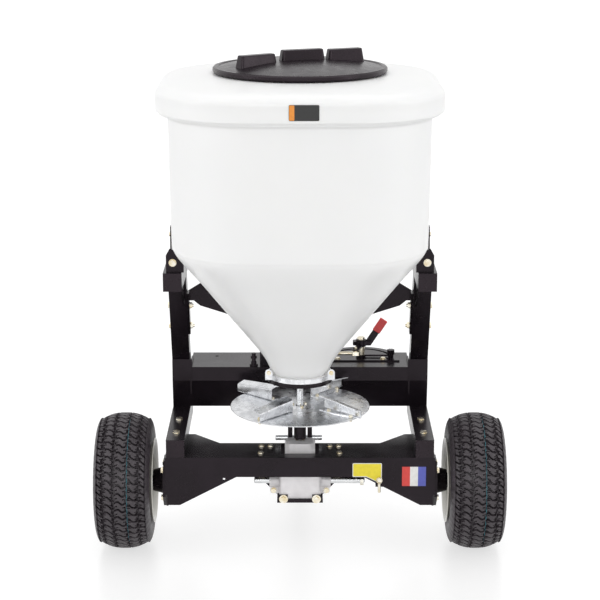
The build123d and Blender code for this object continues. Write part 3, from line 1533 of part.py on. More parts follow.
# ---------------------------------------------------------------- nodes
def frame_nodes():
    save("axle_beam", axle_beam())
    save("end_plates", *both(end_plate()))
    save("lower_rails", *both(lower_rail()))
    save("upper_rails", *both(upper_rail()))
    save("rail_caps", *rail_caps())
    save("posts", *both(post()), *both(post_gusset()))
    save("cross_member", cross_member())
    save("saddle_plates", *both(saddle_plate()))
    save("hopper_brackets", *both(hopper_bracket()))
    save("tongue", tongue())
    save("hitch_clevis", hitch_clevis())
    brackets = [make(side) for make in (tongue_hanger, stand_bracket) for side in SIDES]
    save("tongue_brackets", *brackets)
    save("spindle_plates", *[spindle_plate(side) for side in SIDES])
    save("left_spindle", left_spindle())


def bolt_nodes():
    post = []
    for solid in bolts(post_bolt_places(), (-1, 0, 0), RAIL_BOLT_R, TUBE + SADDLE_T):
        post += both(solid)
    spindle = []
    for solid in bolts(spindle_places(), (-1, 0, 0), RAIL_BOLT_R, SPINDLE_PLATE_T + SHEET):
        spindle += both(solid)
    rail = bolts(RAIL_BOLTS, (0, 0, -1), RAIL_BOLT_R, TUBE + SHEET)
    web = bolts(WEB_BOLTS, (0, 0, -1), WEB_BOLT_R, SHEET + 5)
    tongue_bolts = bolts(TONGUE_BOLTS, (0, 0, -1), M12_R, 9)
    tongue_bolts += bolts(HANGER_BOLTS, (-1, 0, 0), M12_R, TUBE + 10)
    tongue_bolts += bolts(STAND_BOLTS, (-1, 0, 0), M10_R, TUBE + 8)
    save("frame_bolts", *rail, *post, *spindle, *web, *tongue_bolts, pin_stud())


def gearbox_nodes():
    save("gearbox_rear_half", gearbox_half(-1))
    save("gearbox_front_half", gearbox_half(1))
    save("shaft_bushes", *shaft_bushes(), axle_bush())
    save("gearbox_cradle", gearbox_cradle())
    fixings = bolts(flange_places(), (0, 1, 0), M8_R, 2 * FLANGE_T + CRADLE_T)
    depth = CRADLE_T + CRADLE_DEPTH
    fixings += [screw(at, (0, 1, 0), M8_R, depth, WIDE_WASHER) for at in cradle_places()]
    save("gearbox_bolts", *fixings)
    save("spinner_yoke", spinner_yoke())
    save("retaining_rod", retaining_rod())
    save("bevel_gear", drive_gear())
    save("drive_shaft", drive_shaft())
    save("shaft_collar", shaft_collar())


def spinner_nodes():
    save("bevel_pinion", pinion())
    save("spinner_shaft", spinner_shaft())
    save("shaft_coupler", shaft_coupler())
    save("disc_hub", disc_hub())
    save("spinner_disc", spinner_disc())
    save("spinner_fins", *[fin(a) for a in FIN_ANGLES])
    fixings = bolts(fin_bolt_places(), (0, 0, -1), M6_R, FIN_T + DISC_T)
    fixings += screws(hub_bolt_places(), (0, 0, -1), M5_R, DISC_H - YOKE_TOP - 3)
    save("spinner_bolts", *fixings)
    save("agitator_pin", agitator_pin())


def hopper_nodes():
    save("hopper", hopper())
    save("outlet_ring", outlet_ring())
    save("outlet_stays", *[outlet_stay(x) for x in STAY_X])
    save("gate_base", gate_base())
    fixings = screws(ring_bolt_places(), (0, 0, 1), M4_R, 8)
    fixings += bolts(EAR_BOLTS, (0, 0, -1), M8_R, STAY_T + 3)
    fixings += bolts(STAY_BOLTS, (0, 0, -1), M8_R, STAY_T + 4)
    fixings += bolts(TAB_BOLTS, (0, 1, 0), M6_R, 3)
    fixings += both(screw(BRACKET_FRONT_BOLT, (0, 1, 0), M10_R, 9))
    fixings += [screw(place, way, M6_R, SIDE_BOLT_REACH) for place, way in side_bolts()]
    fixings += bolts(QUADRANT_BOLTS, (0, 0, -1), M8_R, QUADRANT_T + 4)
    save("hopper_bolts", *fixings)
    save("lid", lid())


def gate_nodes():
    save("gate_shutter", gate_shutter())
    save("gate_rod", gate_rod(), swivel_block())
    save("gate_lever", gate_lever())
    save("lever_grip", lever_grip())
    save("quadrant_plate", quadrant_plate())
    save("pivot_bolt", pivot_bolt())
    save("stop_arm", stop_arm())
    save("clamp_knob", clamp_knob())


def wheel_nodes():
    for side, word in ((-1, "left"), (1, "right")):
        here = Pos(side * WHEEL_X, 0, AXLE_H)
        save(f"{word}_tyre", here * tyre())
        save(f"{word}_rim", here * rim(side))
        save(f"{word}_valve_stem", here * valve_stem(side))
        save(f"{word}_hub", here * hub(side, side > 0))
        save(f"{word}_dust_cap", here * dust_cap(side))
    here = Pos(-WHEEL_X, 0, AXLE_H)
    save("left_bearings", *[here * ring for ring in wheel_bearings()])


def main():
    os.makedirs("parts", exist_ok=True)
    frame_nodes()
    bolt_nodes()
    gearbox_nodes()
    spinner_nodes()
    hopper_nodes()
    gate_nodes()
    wheel_nodes()
    save("stand_leg", stand_leg())
    save("axle_pin", axle_pin())


main()
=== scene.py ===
import json
import math

import bpy
import numpy as np
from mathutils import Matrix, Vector


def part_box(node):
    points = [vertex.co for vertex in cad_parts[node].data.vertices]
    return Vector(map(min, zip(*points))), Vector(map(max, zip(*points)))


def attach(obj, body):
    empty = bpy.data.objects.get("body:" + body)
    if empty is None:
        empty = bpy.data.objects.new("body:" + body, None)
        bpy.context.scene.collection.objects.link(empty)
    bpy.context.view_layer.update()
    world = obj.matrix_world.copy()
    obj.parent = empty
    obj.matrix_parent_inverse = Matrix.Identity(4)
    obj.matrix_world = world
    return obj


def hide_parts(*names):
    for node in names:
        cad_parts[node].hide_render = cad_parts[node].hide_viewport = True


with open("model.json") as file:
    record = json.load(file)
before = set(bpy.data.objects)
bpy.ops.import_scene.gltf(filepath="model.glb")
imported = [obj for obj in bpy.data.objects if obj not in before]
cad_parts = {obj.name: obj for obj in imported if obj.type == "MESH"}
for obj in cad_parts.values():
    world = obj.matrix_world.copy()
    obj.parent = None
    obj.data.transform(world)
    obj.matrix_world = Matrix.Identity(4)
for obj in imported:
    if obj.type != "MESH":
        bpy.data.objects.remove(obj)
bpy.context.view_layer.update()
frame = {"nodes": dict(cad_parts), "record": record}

RECORD = frame["record"]


# ------------------------------------------------------------------ materials
class Material:
    """A node material on a Principled shader, with helpers for its usual chains."""

    def __init__(self, name, colour, rough=0.5, metal=0.0):
        self.material = bpy.data.materials.new(name)
        self.material.use_nodes = True
        self.nodes = self.material.node_tree.nodes
        self.links = self.material.node_tree.links
        self.shader = self.nodes["Principled BSDF"]
        self.shader.inputs["Base Color"].default_value = (*colour, 1)
        self.shader.inputs["Roughness"].default_value = rough
        self.shader.inputs["Metallic"].default_value = metal
        self.coords = self.nodes.new("ShaderNodeTexCoord").outputs["Object"]
        self.height = None

    def noise(self, scale, detail=3.0, stretch=(1, 1, 1)):
        mapping = self.nodes.new("ShaderNodeMapping")
        mapping.inputs["Scale"].default_value = stretch
        self.links.new(self.coords, mapping.inputs["Vector"])
        texture = self.nodes.new("ShaderNodeTexNoise")
        texture.inputs["Scale"].default_value = scale
        texture.inputs["Detail"].default_value = detail
        self.links.new(mapping.outputs["Vector"], texture.inputs["Vector"])
        return texture.outputs["Fac"]

    def cells(self, scale):
        texture = self.nodes.new("ShaderNodeTexVoronoi")
        texture.inputs["Scale"].default_value = scale
        self.links.new(self.coords, texture.inputs["Vector"])
        return texture.outputs["Color"]

    def ramp(self, value, stops):
        """Maps a value to colours at (position, colour) stops."""
        node = self.nodes.new("ShaderNodeValToRGB")
        elements = node.color_ramp.elements
        while len(elements) < len(stops):
            elements.new(0.5)
        for element, (place, colour) in zip(elements, stops):
            element.position = place
            element.color = (*colour, 1)
        self.links.new(value, node.inputs["Fac"])
        return node.outputs["Color"]

    def paint(self, value, low, high, start=0.3, end=0.7):
        """Base colour between two colours by a value."""
        colour = self.ramp(value, [(start, low), (end, high)])
        self.links.new(colour, self.shader.inputs["Base Color"])
        return self

    def gloss(self, value, low, high):
        """Roughness between two numbers by a value."""
        node = self.nodes.new("ShaderNodeMapRange")
        node.inputs["From Min"].default_value = 0.3
        node.inputs["From Max"].default_value = 0.7
        node.inputs["To Min"].default_value = low
        node.inputs["To Max"].default_value = high
        self.links.new(value, node.inputs["Value"])
        self.links.new(node.outputs["Result"], self.shader.inputs["Roughness"])
        return self

    def bump(self, value, strength, distance):
        """Adds a bump layer on top of what is there."""
        node = self.nodes.new("ShaderNodeBump")
        node.inputs["Strength"].default_value = strength
        node.inputs["Distance"].default_value = distance
        self.links.new(value, node.inputs["Height"])
        if self.height is not None:
            self.links.new(self.height, node.inputs["Normal"])
        self.height = node.outputs["Normal"]
        self.links.new(self.height, self.shader.inputs["Normal"])
        return self

    def set(self, name, value):
        """Sets one socket of the shader."""
        self.shader.inputs[name].default_value = value

    def coat(self, weight, rough):
        self.set("Coat Weight", weight)
        self.set("Coat Roughness", rough)
        return self


def black_coat():
    m = Material("black_steel", (0.008, 0.006, 0.008), 0.28)
    m.paint(m.noise(9, 4), (0.005, 0.004, 0.005), (0.011, 0.008, 0.011))
    m.gloss(m.noise(14, 2), 0.2, 0.27)
    m.bump(m.noise(500, 2), 0.05, 0.0002)
    m.set("Specular IOR Level", 0.23)
    m.set("Specular Tint", (1.0, 0.86, 0.95, 1))
    return m.material


def galvanised():
    m = Material("galvanised", (0.6, 0.61, 0.63), 0.32, 1.0)
    m.paint(m.cells(75), (0.62, 0.63, 0.65), (0.85, 0.86, 0.88), 0.1, 0.9)
    m.gloss(m.noise(35, 4), 0.2, 0.36)
    m.bump(m.noise(160, 3), 0.2, 0.0004)
    return m.material


def zinc():
    m = Material("zinc", (0.76, 0.69, 0.52), 0.26, 1.0)
    m.paint(m.noise(55, 3), (0.7, 0.6, 0.4), (0.84, 0.82, 0.74), 0.35, 0.65)
    m.bump(m.noise(500, 2), 0.1, 0.0003)
    return m.material


def bright_steel():
    m = Material("bright_steel", (0.72, 0.73, 0.74), 0.24, 1.0)
    m.paint(m.noise(18, 3, (1, 1, 8)), (0.62, 0.63, 0.64), (0.82, 0.83, 0.84))
    m.gloss(m.noise(90, 3), 0.18, 0.34)
    m.bump(m.noise(420, 2), 0.12, 0.0003)
    return m.material


def cast_alloy():
    m = Material("cast_alloy", (0.74, 0.72, 0.73), 0.52, 0.45)
    m.paint(m.noise(24, 5), (0.76, 0.74, 0.75), (0.9, 0.88, 0.89))
    m.gloss(m.noise(50, 3), 0.44, 0.62)
    m.bump(m.noise(260, 4), 0.5, 0.0012)
    return m.material


def gear_steel():
    m = Material("gear_steel", (0.2, 0.2, 0.21), 0.35, 1.0)
    m.paint(m.noise(40, 3), (0.14, 0.14, 0.15), (0.28, 0.28, 0.29))
    m.bump(m.noise(300, 2), 0.2, 0.0005)
    return m.material


def bronze():
    m = Material("bronze", (0.55, 0.36, 0.16), 0.4, 1.0)
    m.paint(m.noise(60, 3), (0.45, 0.28, 0.12), (0.62, 0.43, 0.2))
    m.bump(m.noise(400, 2), 0.2, 0.0004)
    return m.material


def white_poly():
    m = Material("white_poly", (0.93, 0.93, 0.93), 0.33)
    m.paint(m.noise(3, 2), (0.92, 0.925, 0.93), (0.95, 0.95, 0.95))
    m.gloss(m.noise(26, 3), 0.28, 0.4)
    m.bump(m.noise(30, 2), 0.05, 0.003)
    m.bump(m.noise(900, 2), 0.08, 0.0003)
    m.set("Subsurface Weight", 0.35)
    m.set("Subsurface Radius", (0.05, 0.05, 0.055))
    m.set("Subsurface Scale", 0.25)
    return m.material


def black_plastic():
    m = Material("black_plastic", (0.011, 0.008, 0.01), 0.32)
    m.paint(m.noise(12, 3), (0.008, 0.006, 0.0075), (0.014, 0.01, 0.013))
    m.gloss(m.noise(40, 3), 0.24, 0.34)
    m.bump(m.cells(900), 0.08, 0.0003)
    m.set("Specular IOR Level", 0.3)
    m.set("Specular Tint", (1.0, 0.84, 0.94, 1))
    return m.material


def red_grip():
    m = Material("red_grip", (0.74, 0.012, 0.014), 0.28)
    m.paint(m.noise(60, 2), (0.68, 0.01, 0.012), (0.8, 0.022, 0.022))
    m.bump(m.noise(300, 2), 0.15, 0.0004)
    return m.coat(0.4, 0.15).material


def tyre_rubber():
    m = Material("tyre_rubber", (0.042, 0.034, 0.04), 0.46)
    m.paint(m.noise(30, 4), (0.032, 0.025, 0.03), (0.055, 0.046, 0.053))
    m.gloss(m.noise(80, 3), 0.38, 0.56)
    m.bump(m.noise(500, 3), 0.35, 0.0006)
    return m.material


def tread_line():
    m = Material("tread_line", (0.05, 0.28, 0.36), 0.6)
    m.paint(m.noise(90, 3), (0.03, 0.09, 0.12), (0.07, 0.3, 0.36))
    m.bump(m.noise(500, 2), 0.3, 0.0005)
    return m.material


def soft_rubber():
    m = Material("rubber", (0.02, 0.02, 0.02), 0.6)
    m.paint(m.noise(60, 3), (0.016, 0.016, 0.016), (0.03, 0.03, 0.03))
    m.bump(m.noise(500, 2), 0.25, 0.0004)
    return m.material


def rim_paint():
    m = Material("rim_paint", (0.82, 0.8, 0.72), 0.3)
    m.paint(m.noise(14, 3), (0.78, 0.76, 0.68), (0.86, 0.84, 0.77))
    m.bump(m.noise(300, 2), 0.1, 0.0004)
    return m.coat(0.3, 0.15).material


def printed(name, colour):
    """A vinyl decal's colour."""
    m = Material(name, colour, 0.35)
    low = tuple(0.9 * c for c in colour)
    m.paint(m.noise(120, 2), low, colour)
    m.bump(m.noise(400, 2), 0.1, 0.0002)
    return m.material


SLOT_MATERIALS = {
    "black_steel": black_coat(),
    "galvanised": galvanised(),
    "zinc": zinc(),
    "bright_steel": bright_steel(),
    "cast_alloy": cast_alloy(),
    "gear_steel": gear_steel(),
    "bronze": bronze(),
    "white_poly": white_poly(),
    "black_plastic": black_plastic(),
    "red_grip": red_grip(),
    "tyre_rubber": tyre_rubber(),
    "rubber": soft_rubber(),
    "rim_paint": rim_paint(),
}
TREAD_LINE = tread_line()


def dress_frame():
    """Gives every CAD node the material of its slot."""
    for row in RECORD["subparts"]:
        thing = frame["nodes"][row["node"]]
        material = SLOT_MATERIALS[row["material_slot"]]
        if not thing.data.materials:
            thing.data.materials.append(material)
        for entry in thing.material_slots:
            entry.material = material


# ------------------------------------------------------------------ mesh helpers
SHARP_TURNED = 35
SHARP_TREAD = 40
SHARP_SHEET = 30


def make_object(name, vertices, faces, material, smooth=True):
    mesh = bpy.data.meshes.new(name)
    mesh.from_pydata([tuple(v) for v in vertices], [], [tuple(f) for f in faces])
    mesh.materials.append(material)
    mesh.polygons.foreach_set("use_smooth", [smooth] * len(mesh.polygons))
    mesh.update()
    thing = bpy.data.objects.new(name, mesh)
    bpy.context.scene.collection.objects.link(thing)
    return thing


def sharp_by_angle(thing, degrees):
    """Marks edges sharper than an angle, so that smooth shading stops there."""
    thing.data.set_sharp_from_angle(angle=math.radians(degrees))


def bridge(rings, closed_loop=False):
    """Quads between rings of equal length: each ring is a closed loop of points."""
    count = len(rings[0])
    faces = []
    last = len(rings) if closed_loop else len(rings) - 1
    for i in range(last):
        a, b = i * count, ((i + 1) % len(rings)) * count
        for k in range(count):
            n = (k + 1) % count
            faces.append((a + k, a + n, b + n, b + k))
    return np.concatenate(rings), faces


def lathe(name, profile, centre, count, material):
    """A closed profile of (radius, height) turned about a vertical axis."""
    turn = [2 * math.pi * k / count for k in range(count)]
    rings = [
        np.array([(centre[0] + r * math.cos(a), centre[1] + r * math.sin(a), z) for a in turn])
        for r, z in profile
    ]
    vertices, faces = bridge(rings, closed_loop=True)
    thing = make_object(name, vertices, faces, material)
    sharp_by_angle(thing, SHARP_TURNED)
    return thing


def joined(name, stacks, material):
    """One object of several ring stacks, each closed at its ends."""
    vertices, faces = [], []
    for rings in stacks:
        base = len(vertices)
        points, quads = bridge(rings)
        vertices += [tuple(v) for v in points]
        faces += [tuple(base + k for k in quad) for quad in quads]
        count = len(rings[0])
        faces.append(tuple(base + k for k in reversed(range(count))))
        faces.append(tuple(base + (len(rings) - 1) * count + k for k in range(count)))
    thing = make_object(name, vertices, faces, material)
    sharp_by_angle(thing, SHARP_SHEET)
    return thing


def smooth_path(rows, steps):
    """Catmull-Rom points through rows of numbers."""
    rows = np.array(rows, float)
    out = []
    for i in range(len(rows) - 1):
        p0 = rows[max(i - 1, 0)]
        p1, p2 = rows[i], rows[i + 1]
        p3 = rows[min(i + 2, len(rows) - 1)]
        for k in range(steps):
            t = k / steps
            even = (2 * p0 - 5 * p1 + 4 * p2 - p3) * t * t
            odd = (3 * p1 - p0 - 3 * p2 + p3) * t**3
            out.append(0.5 * (2 * p1 + (p2 - p0) * t + even + odd))
    out.append(rows[-1])
    return out


def node_middle(node):
    low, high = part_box(node)
    return [(a + b) / 2 for a, b in zip(low, high)]


# ------------------------------------------------------------------ hopper
HOPPER_RING = 168
STRAIGHT_STEPS = 4
CORNER_SLACK = 0.0002
WALL = 0.006
LIP_WALL = WALL * 0.6
LIP_WALL_FROM = 0.80
LIP_OUT = 0.038
LIP_FOLD = (0.744, 0.757)
FUNNEL_STEPS = 5
LIP_STEPS = 4
FLANGE_COUNT = 96
# (radius, height above the hopper's foot)
FOOT_FLANGE = (
    (0.0615, 0.0002),
    (0.083, 0.0002),
    (0.0838, 0.0015),
    (0.0838, 0.0065),
    (0.082, 0.0088),
    (0.0735, 0.0092),
    (0.0615, 0.0092),
)


def squircle_ring(half, corner, z, centre):
    """Points round a rounded square: corners stepped by angle, straights by length."""
    flat = half - corner
    points = []
    per_corner = HOPPER_RING // 4 - STRAIGHT_STEPS
    for quarter in range(4):
        a0 = quarter * math.pi / 2
        for i in range(per_corner + 1):
            a = a0 + (math.pi / 2) * i / per_corner
            sx = (1, -1, -1, 1)[quarter]
            sy = (1, 1, -1, -1)[quarter]
            points.append((sx * flat + corner * math.cos(a), sy * flat + corner * math.sin(a)))
        x0, y0 = points[-1]
        nx = (-1, -1, 1, 1)[quarter] * flat
        ny = (1, -1, -1, 1)[quarter] * flat
        a = a0 + math.pi / 2
        x1, y1 = nx + corner * math.cos(a), ny + corner * math.sin(a)
        for i in range(1, STRAIGHT_STEPS):
            share = i / STRAIGHT_STEPS
            points.append((x0 + (x1 - x0) * share, y0 + (y1 - y0) * share))
    return [(centre[0] + x, centre[1] + y, z) for x, y in points]


def hopper_path(foot, crown, half):
    """Rows of (height, half width, corner radius) up the outside of the hopper."""
    body = half - LIP_OUT
    funnel = [
        (foot + 0.009, 0.0735, 0.0728),
        (foot + 0.016, 0.0800, 0.0785),
        (foot + 0.072, 0.1105, 0.1045),
        (foot + 0.195, 0.2015, 0.1575),
        (foot + 0.292, 0.2715, 0.1895),
        (foot + 0.337, 0.3060, 0.2045),
        (foot + 0.367, 0.3275, 0.2130),
        (foot + 0.387, 0.3380, 0.2180),
        (foot + 0.410, body - 0.0005, 0.2200),
        (foot + 0.550, body + 0.0015, 0.2210),
        (foot + 0.700, body + 0.0040, 0.2225),
        (foot + 0.742, body + 0.0050, 0.2230),
    ]
    lip = [
        (foot + 0.7505, body + 0.012, 0.231),
        (foot + 0.7545, body + 0.026, 0.243),
        (foot + 0.758, half - 0.0045, 0.249),
        (foot + 0.764, half - 0.0014, 0.252),
        (foot + 0.785, half - 0.0014, 0.252),
        (foot + 0.806, half - 0.0018, 0.250),
        (foot + 0.8155, half - 0.008, 0.246),
        (foot + 0.824, half - 0.019, 0.238),
        (foot + 0.829, half - 0.036, 0.228),
        (foot + 0.8335, half - 0.075, 0.2315),
        (crown - 0.0012, half - 0.131, 0.2475),
        (crown - 0.0008, half - 0.150, 0.2290),
        (crown - 0.0010, 0.2060, 0.2055),
    ]
    return smooth_path(funnel, FUNNEL_STEPS) + smooth_path(lip, LIP_STEPS)


def build_hopper():
    """The rotomoulded shell: funnel, body, rolled lip and crown, inside and out."""
    low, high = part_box("hopper")
    centre = ((low[0] + high[0]) / 2, (low[1] + high[1]) / 2)
    foot = low[2]
    path = hopper_path(foot, high[2], (high[0] - low[0]) / 2)
    outer = [squircle_ring(h, min(c, h - CORNER_SLACK), z, centre) for z, h, c in path]
    inner = []
    for z, h, c in reversed(path):
        above_fold = z > foot + LIP_FOLD[1]
        if z >= foot + LIP_FOLD[0] and not above_fold:
            continue
        size = h - (WALL if z < foot + LIP_WALL_FROM else LIP_WALL)
        depth = z - WALL if above_fold else z
        inner.append(squircle_ring(size, min(c, size - CORNER_SLACK), depth, centre))
    vertices, faces = bridge([np.array(r) for r in outer + inner], closed_loop=True)
    shell = make_object("hopper_shell", vertices, faces, SLOT_MATERIALS["white_poly"])
    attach(shell, "frame")
    profile = [(r, foot + z) for r, z in FOOT_FLANGE]
    flange = lathe(
        "hopper_foot_flange", profile, centre, FLANGE_COUNT, SLOT_MATERIALS["white_poly"]
    )
    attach(flange, "frame")
    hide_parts("hopper")


# ------------------------------------------------------------------ tyres
AROUND = 832
ACROSS = 132
PITCHES = 52
GROOVE = 0.0085
TREAD_HALF = 0.0665
CROWN_DROP = 0.019
CROWN_POWER = 2.4
# The tread's pattern, in shares of its half width and of one pitch round the tyre.
ROWS = np.array([-0.74, -0.27, 0.27, 0.74])
ROW_HALF = 0.05
ZIGZAG = 0.035
BLOCK_BEND = 0.19
BLOCK_WAVE = 14.0
BLOCK_EDGE = 0.39
NOTCH_EDGE = 0.43
NOTCH_REACH = 0.15
NOTCH_FLOOR = 0.35
# (place across the wheel, radius) from the bead to the tread's edge
TYRE_SIDE = (
    (-0.0500, 0.0830),
    (-0.0505, 0.0960),
    (-0.0590, 0.1030),
    (-0.0700, 0.1160),
    (-0.0768, 0.1320),
    (-0.0770, 0.1480),
    (-0.0738, 0.1620),
    (-0.0692, 0.1715),
    (-0.0665, 0.1755),
)
SIDE_STEPS = 4
BEAD_INSIDE = 0.040
BEAD_RADIUS = 0.083
LUG = 0.0016
LUG_RADII = (0.150, 0.174)
LINE_PLACE = 0.27
LINE_HALF = 0.0012
LINE_SUNK = 0.001
LINE_PROUD = 0.0007
BAND_COUNT = 160
# (place outward from the wheel's middle, radius) round the rim's inboard flange
RIM_FLANGE = (
    (0.0560, 0.0955),
    (0.0680, 0.0985),
    (0.0765, 0.1080),
    (0.0815, 0.1190),
    (0.0835, 0.1185),
    (0.0795, 0.1065),
    (0.0705, 0.0960),
    (0.0560, 0.0925),
)


def tread_height(u, v):
    """0 in a groove and 1 on a block: u counts tread pitches, v is -1 to 1 across the tread."""
    zigzag = ZIGZAG * np.sign(np.sin(2 * math.pi * u))
    depth = np.ones_like(v)
    for i, row in enumerate(ROWS):
        shift = zigzag * (1 if i % 2 else -1)
        depth = np.where(np.abs(v - row - shift) < ROW_HALF, 0.0, depth)
    band = np.digitize(v, ROWS)
    phase = np.where(band % 2 == 0, 0.0, 0.5)
    bend = BLOCK_BEND * np.sin(v * BLOCK_WAVE)
    cut = np.abs(((u + phase + bend) % 1.0) - 0.5)
    depth = np.where(cut > BLOCK_EDGE, 0.0, depth)
    notch = np.abs(((u * 2 + phase + bend) % 1.0) - 0.5)
    last = len(ROWS) - 1
    below = np.abs(v - ROWS[np.clip(band - 1, 0, last)])
    above = np.abs(v - ROWS[np.clip(band, 0, last)])
    fine = (notch > NOTCH_EDGE) & (np.minimum(below, above) < NOTCH_REACH)
    return np.where(fine, np.minimum(depth, NOTCH_FLOOR), depth)


def wheel_ring(mid, turn, x, r):
    """Points round the axle at one place across the wheel; r may vary round it."""
    return np.stack(
        [np.full_like(turn, mid[0] + x), mid[1] + r * np.sin(turn), mid[2] + r * np.cos(turn)], 1
    )


def wheel_band(name, mid, profile, material):
    """A closed profile of (place across the wheel, radius) turned about the axle."""
    turn = np.arange(BAND_COUNT) * 2 * math.pi / BAND_COUNT
    rings = [wheel_ring(mid, turn, x, r) for x, r in profile]
    vertices, faces = bridge(rings, closed_loop=True)
    thing = make_object(name, vertices, faces, material)
    sharp_by_angle(thing, SHARP_TURNED)
    return thing


def tyre_rings(mid, radius):
    """The tyre's whole surface as rings, from one bead round to the other."""
    turn = np.arange(AROUND) * 2 * math.pi / AROUND
    u = turn / (2 * math.pi) * PITCHES
    lug = 0.5 + 0.5 * np.sign(np.sin(2 * math.pi * u))
    side = []
    for x, r in smooth_path(TYRE_SIDE, SIDE_STEPS)[:-1]:
        rise = LUG * lug if LUG_RADII[0] < r < LUG_RADII[1] else 0.0
        side.append((x, r + rise))
    rings = [wheel_ring(mid, turn, x, r) for x, r in side]
    for k in range(ACROSS + 1):
        v = -1 + 2 * k / ACROSS
        crown = radius - CROWN_DROP * abs(v) ** CROWN_POWER
        depth = tread_height(u, np.full_like(u, v))
        rings.append(wheel_ring(mid, turn, v * TREAD_HALF, crown - GROOVE * (1 - depth)))
    rings += [wheel_ring(mid, turn, -x, r) for x, r in reversed(side)]
    rings += [wheel_ring(mid, turn, x, BEAD_RADIUS) for x in (BEAD_INSIDE, -BEAD_INSIDE)]
    return rings


def build_tyre(word):
    """A turf tyre with raised tread blocks and shoulder lugs, its moulding line and rim flange."""
    node = word + "_tyre"
    low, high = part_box(node)
    mid = node_middle(node)
    radius = (high[2] - low[2]) / 2
    vertices, faces = bridge(tyre_rings(mid, radius), closed_loop=True)
    tyre = make_object(word + "_turf_tyre", vertices, faces, SLOT_MATERIALS["tyre_rubber"])
    sharp_by_angle(tyre, SHARP_TREAD)
    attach(tyre, word + "_wheel")
    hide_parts(node)

    floor = radius - CROWN_DROP * LINE_PLACE**CROWN_POWER - GROOVE
    place = LINE_PLACE * TREAD_HALF
    under, over = floor - LINE_SUNK, floor + LINE_PROUD
    profile = [(place - LINE_HALF, under), (place - LINE_HALF, over),
               (place + LINE_HALF, over), (place + LINE_HALF, under)]
    line = wheel_band(word + "_tread_line", mid, profile, TREAD_LINE)
    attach(line, word + "_wheel")

    inboard = -1 if mid[0] > 0 else 1
    profile = [(inboard * x, r) for x, r in RIM_FLANGE]
    flange = wheel_band(word + "_rim_flange", mid, profile, SLOT_MATERIALS["rim_paint"])
    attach(flange, word + "_wheel")


# ------------------------------------------------------------------ spinner
DISC_BORE = 0.0127
DISC_EDGE = 0.0008
DISC_COUNT = 160
FIN_SHEET = 0.002
FIN_SIDE = 0.030
FIN_BEND = 0.003
BRIM = 0.025
BRIM_LEAN = 13.0
# share of the fin's length, height of its wall, width of its floor
FIN_SECTIONS = ((0.0, 0.035, 0.025), (0.45, 0.030, 0.025), (1.0, 0.023, 0.006))
FINS = (
    # angle in degrees, inner end, outer end, bolts along it
    (136.0, 0.083, 0.219, (0.094, 0.183)),
    (227.0, 0.061, 0.190, (0.084, 0.176)),
    (316.0, 0.068, 0.204, (0.098, 0.179)),
    (50.5, 0.083, 0.222, (0.094, 0.183)),
)
FIN_BOLT_SIDE = 0.014
WASHER_RADIUS = 0.0062
WASHER_THICK = 0.0012
HEX_RADIUS = 0.0056
HEX_TOP_RADIUS = 0.0046
HEX_SHOULDER = 0.005
HEX_TOP = 0.0058
SHANK_RADIUS = 0.003
SHANK_BELOW = 0.009
NUT_BELOW = (0.0055, 0.0002)
HUB_SCREW_ANGLES = (45, 165, 285)
HUB_SCREW_RING = 0.021
# (radius, height above the disc) of a hub screw's head
HUB_SCREW = ((0.0045, 0.0), (0.0045, 0.003), (0.0038, 0.0036))
STACK_CORE = 0.0001
STACK_TURN = 0.3


def arc(centre, radius, start, end, steps=4):
    turn = [math.radians(start + (end - start) * i / steps) for i in range(steps + 1)]
    return [(centre[0] + radius * math.cos(a), centre[1] + radius * math.sin(a)) for a in turn]


def sheet_section(middle, thickness):
    """The closed outline of a bent sheet, from the line along its middle."""
    line = np.array(middle)
    way = np.gradient(line, axis=0)
    way /= np.linalg.norm(way, axis=1)[:, None]
    side = np.stack([-way[:, 1], way[:, 0]], 1) * thickness / 2
    return np.concatenate([line + side, (line - side)[::-1]])


def fin_section(height, floor):
    """A fin's channel at one place: floor, upright wall and a raised brim, as (side, height)."""
    x = FIN_SIDE - FIN_SHEET / 2
    tip = (x - BRIM, height + BRIM * math.tan(math.radians(BRIM_LEAN)))
    middle = [(x - floor, FIN_SHEET / 2)]
    middle += arc((x - FIN_BEND, FIN_SHEET / 2 + FIN_BEND), FIN_BEND, -90, 0)
    middle += arc((x - FIN_BEND, height - FIN_BEND), FIN_BEND, 0, 90 - BRIM_LEAN)
    return sheet_section(middle + [tip], FIN_SHEET)


def beside(centre, angle, reach, side):
    """The point at a distance out along an angle and a distance to the left of it."""
    out = Vector((math.cos(math.radians(angle)), math.sin(math.radians(angle))))
    return (centre[0] + out.x * reach - out.y * side, centre[1] + out.y * reach + out.x * side)


def fin_rings(angle, start, end, centre, top):
    """Rings of one fin: it is tallest and widest near the shaft."""
    rings = []
    for share, height, floor in FIN_SECTIONS:
        reach = start + (end - start) * share
        section = fin_section(height, floor)
        rings.append(np.array([(*beside(centre, angle, reach, n), top + z) for n, z in section]))
    return rings


def turned_stack(spot, rows, count):
    """A closed solid of (radius, height) rows about an upright line."""
    turn = [2 * math.pi * k / count + STACK_TURN for k in range(count)]
    rows = [(STACK_CORE, rows[0][1]), *rows, (STACK_CORE, rows[-1][1])]
    return [
        np.array([(spot[0] + r * math.cos(a), spot[1] + r * math.sin(a), z) for a in turn])
        for r, z in rows
    ]


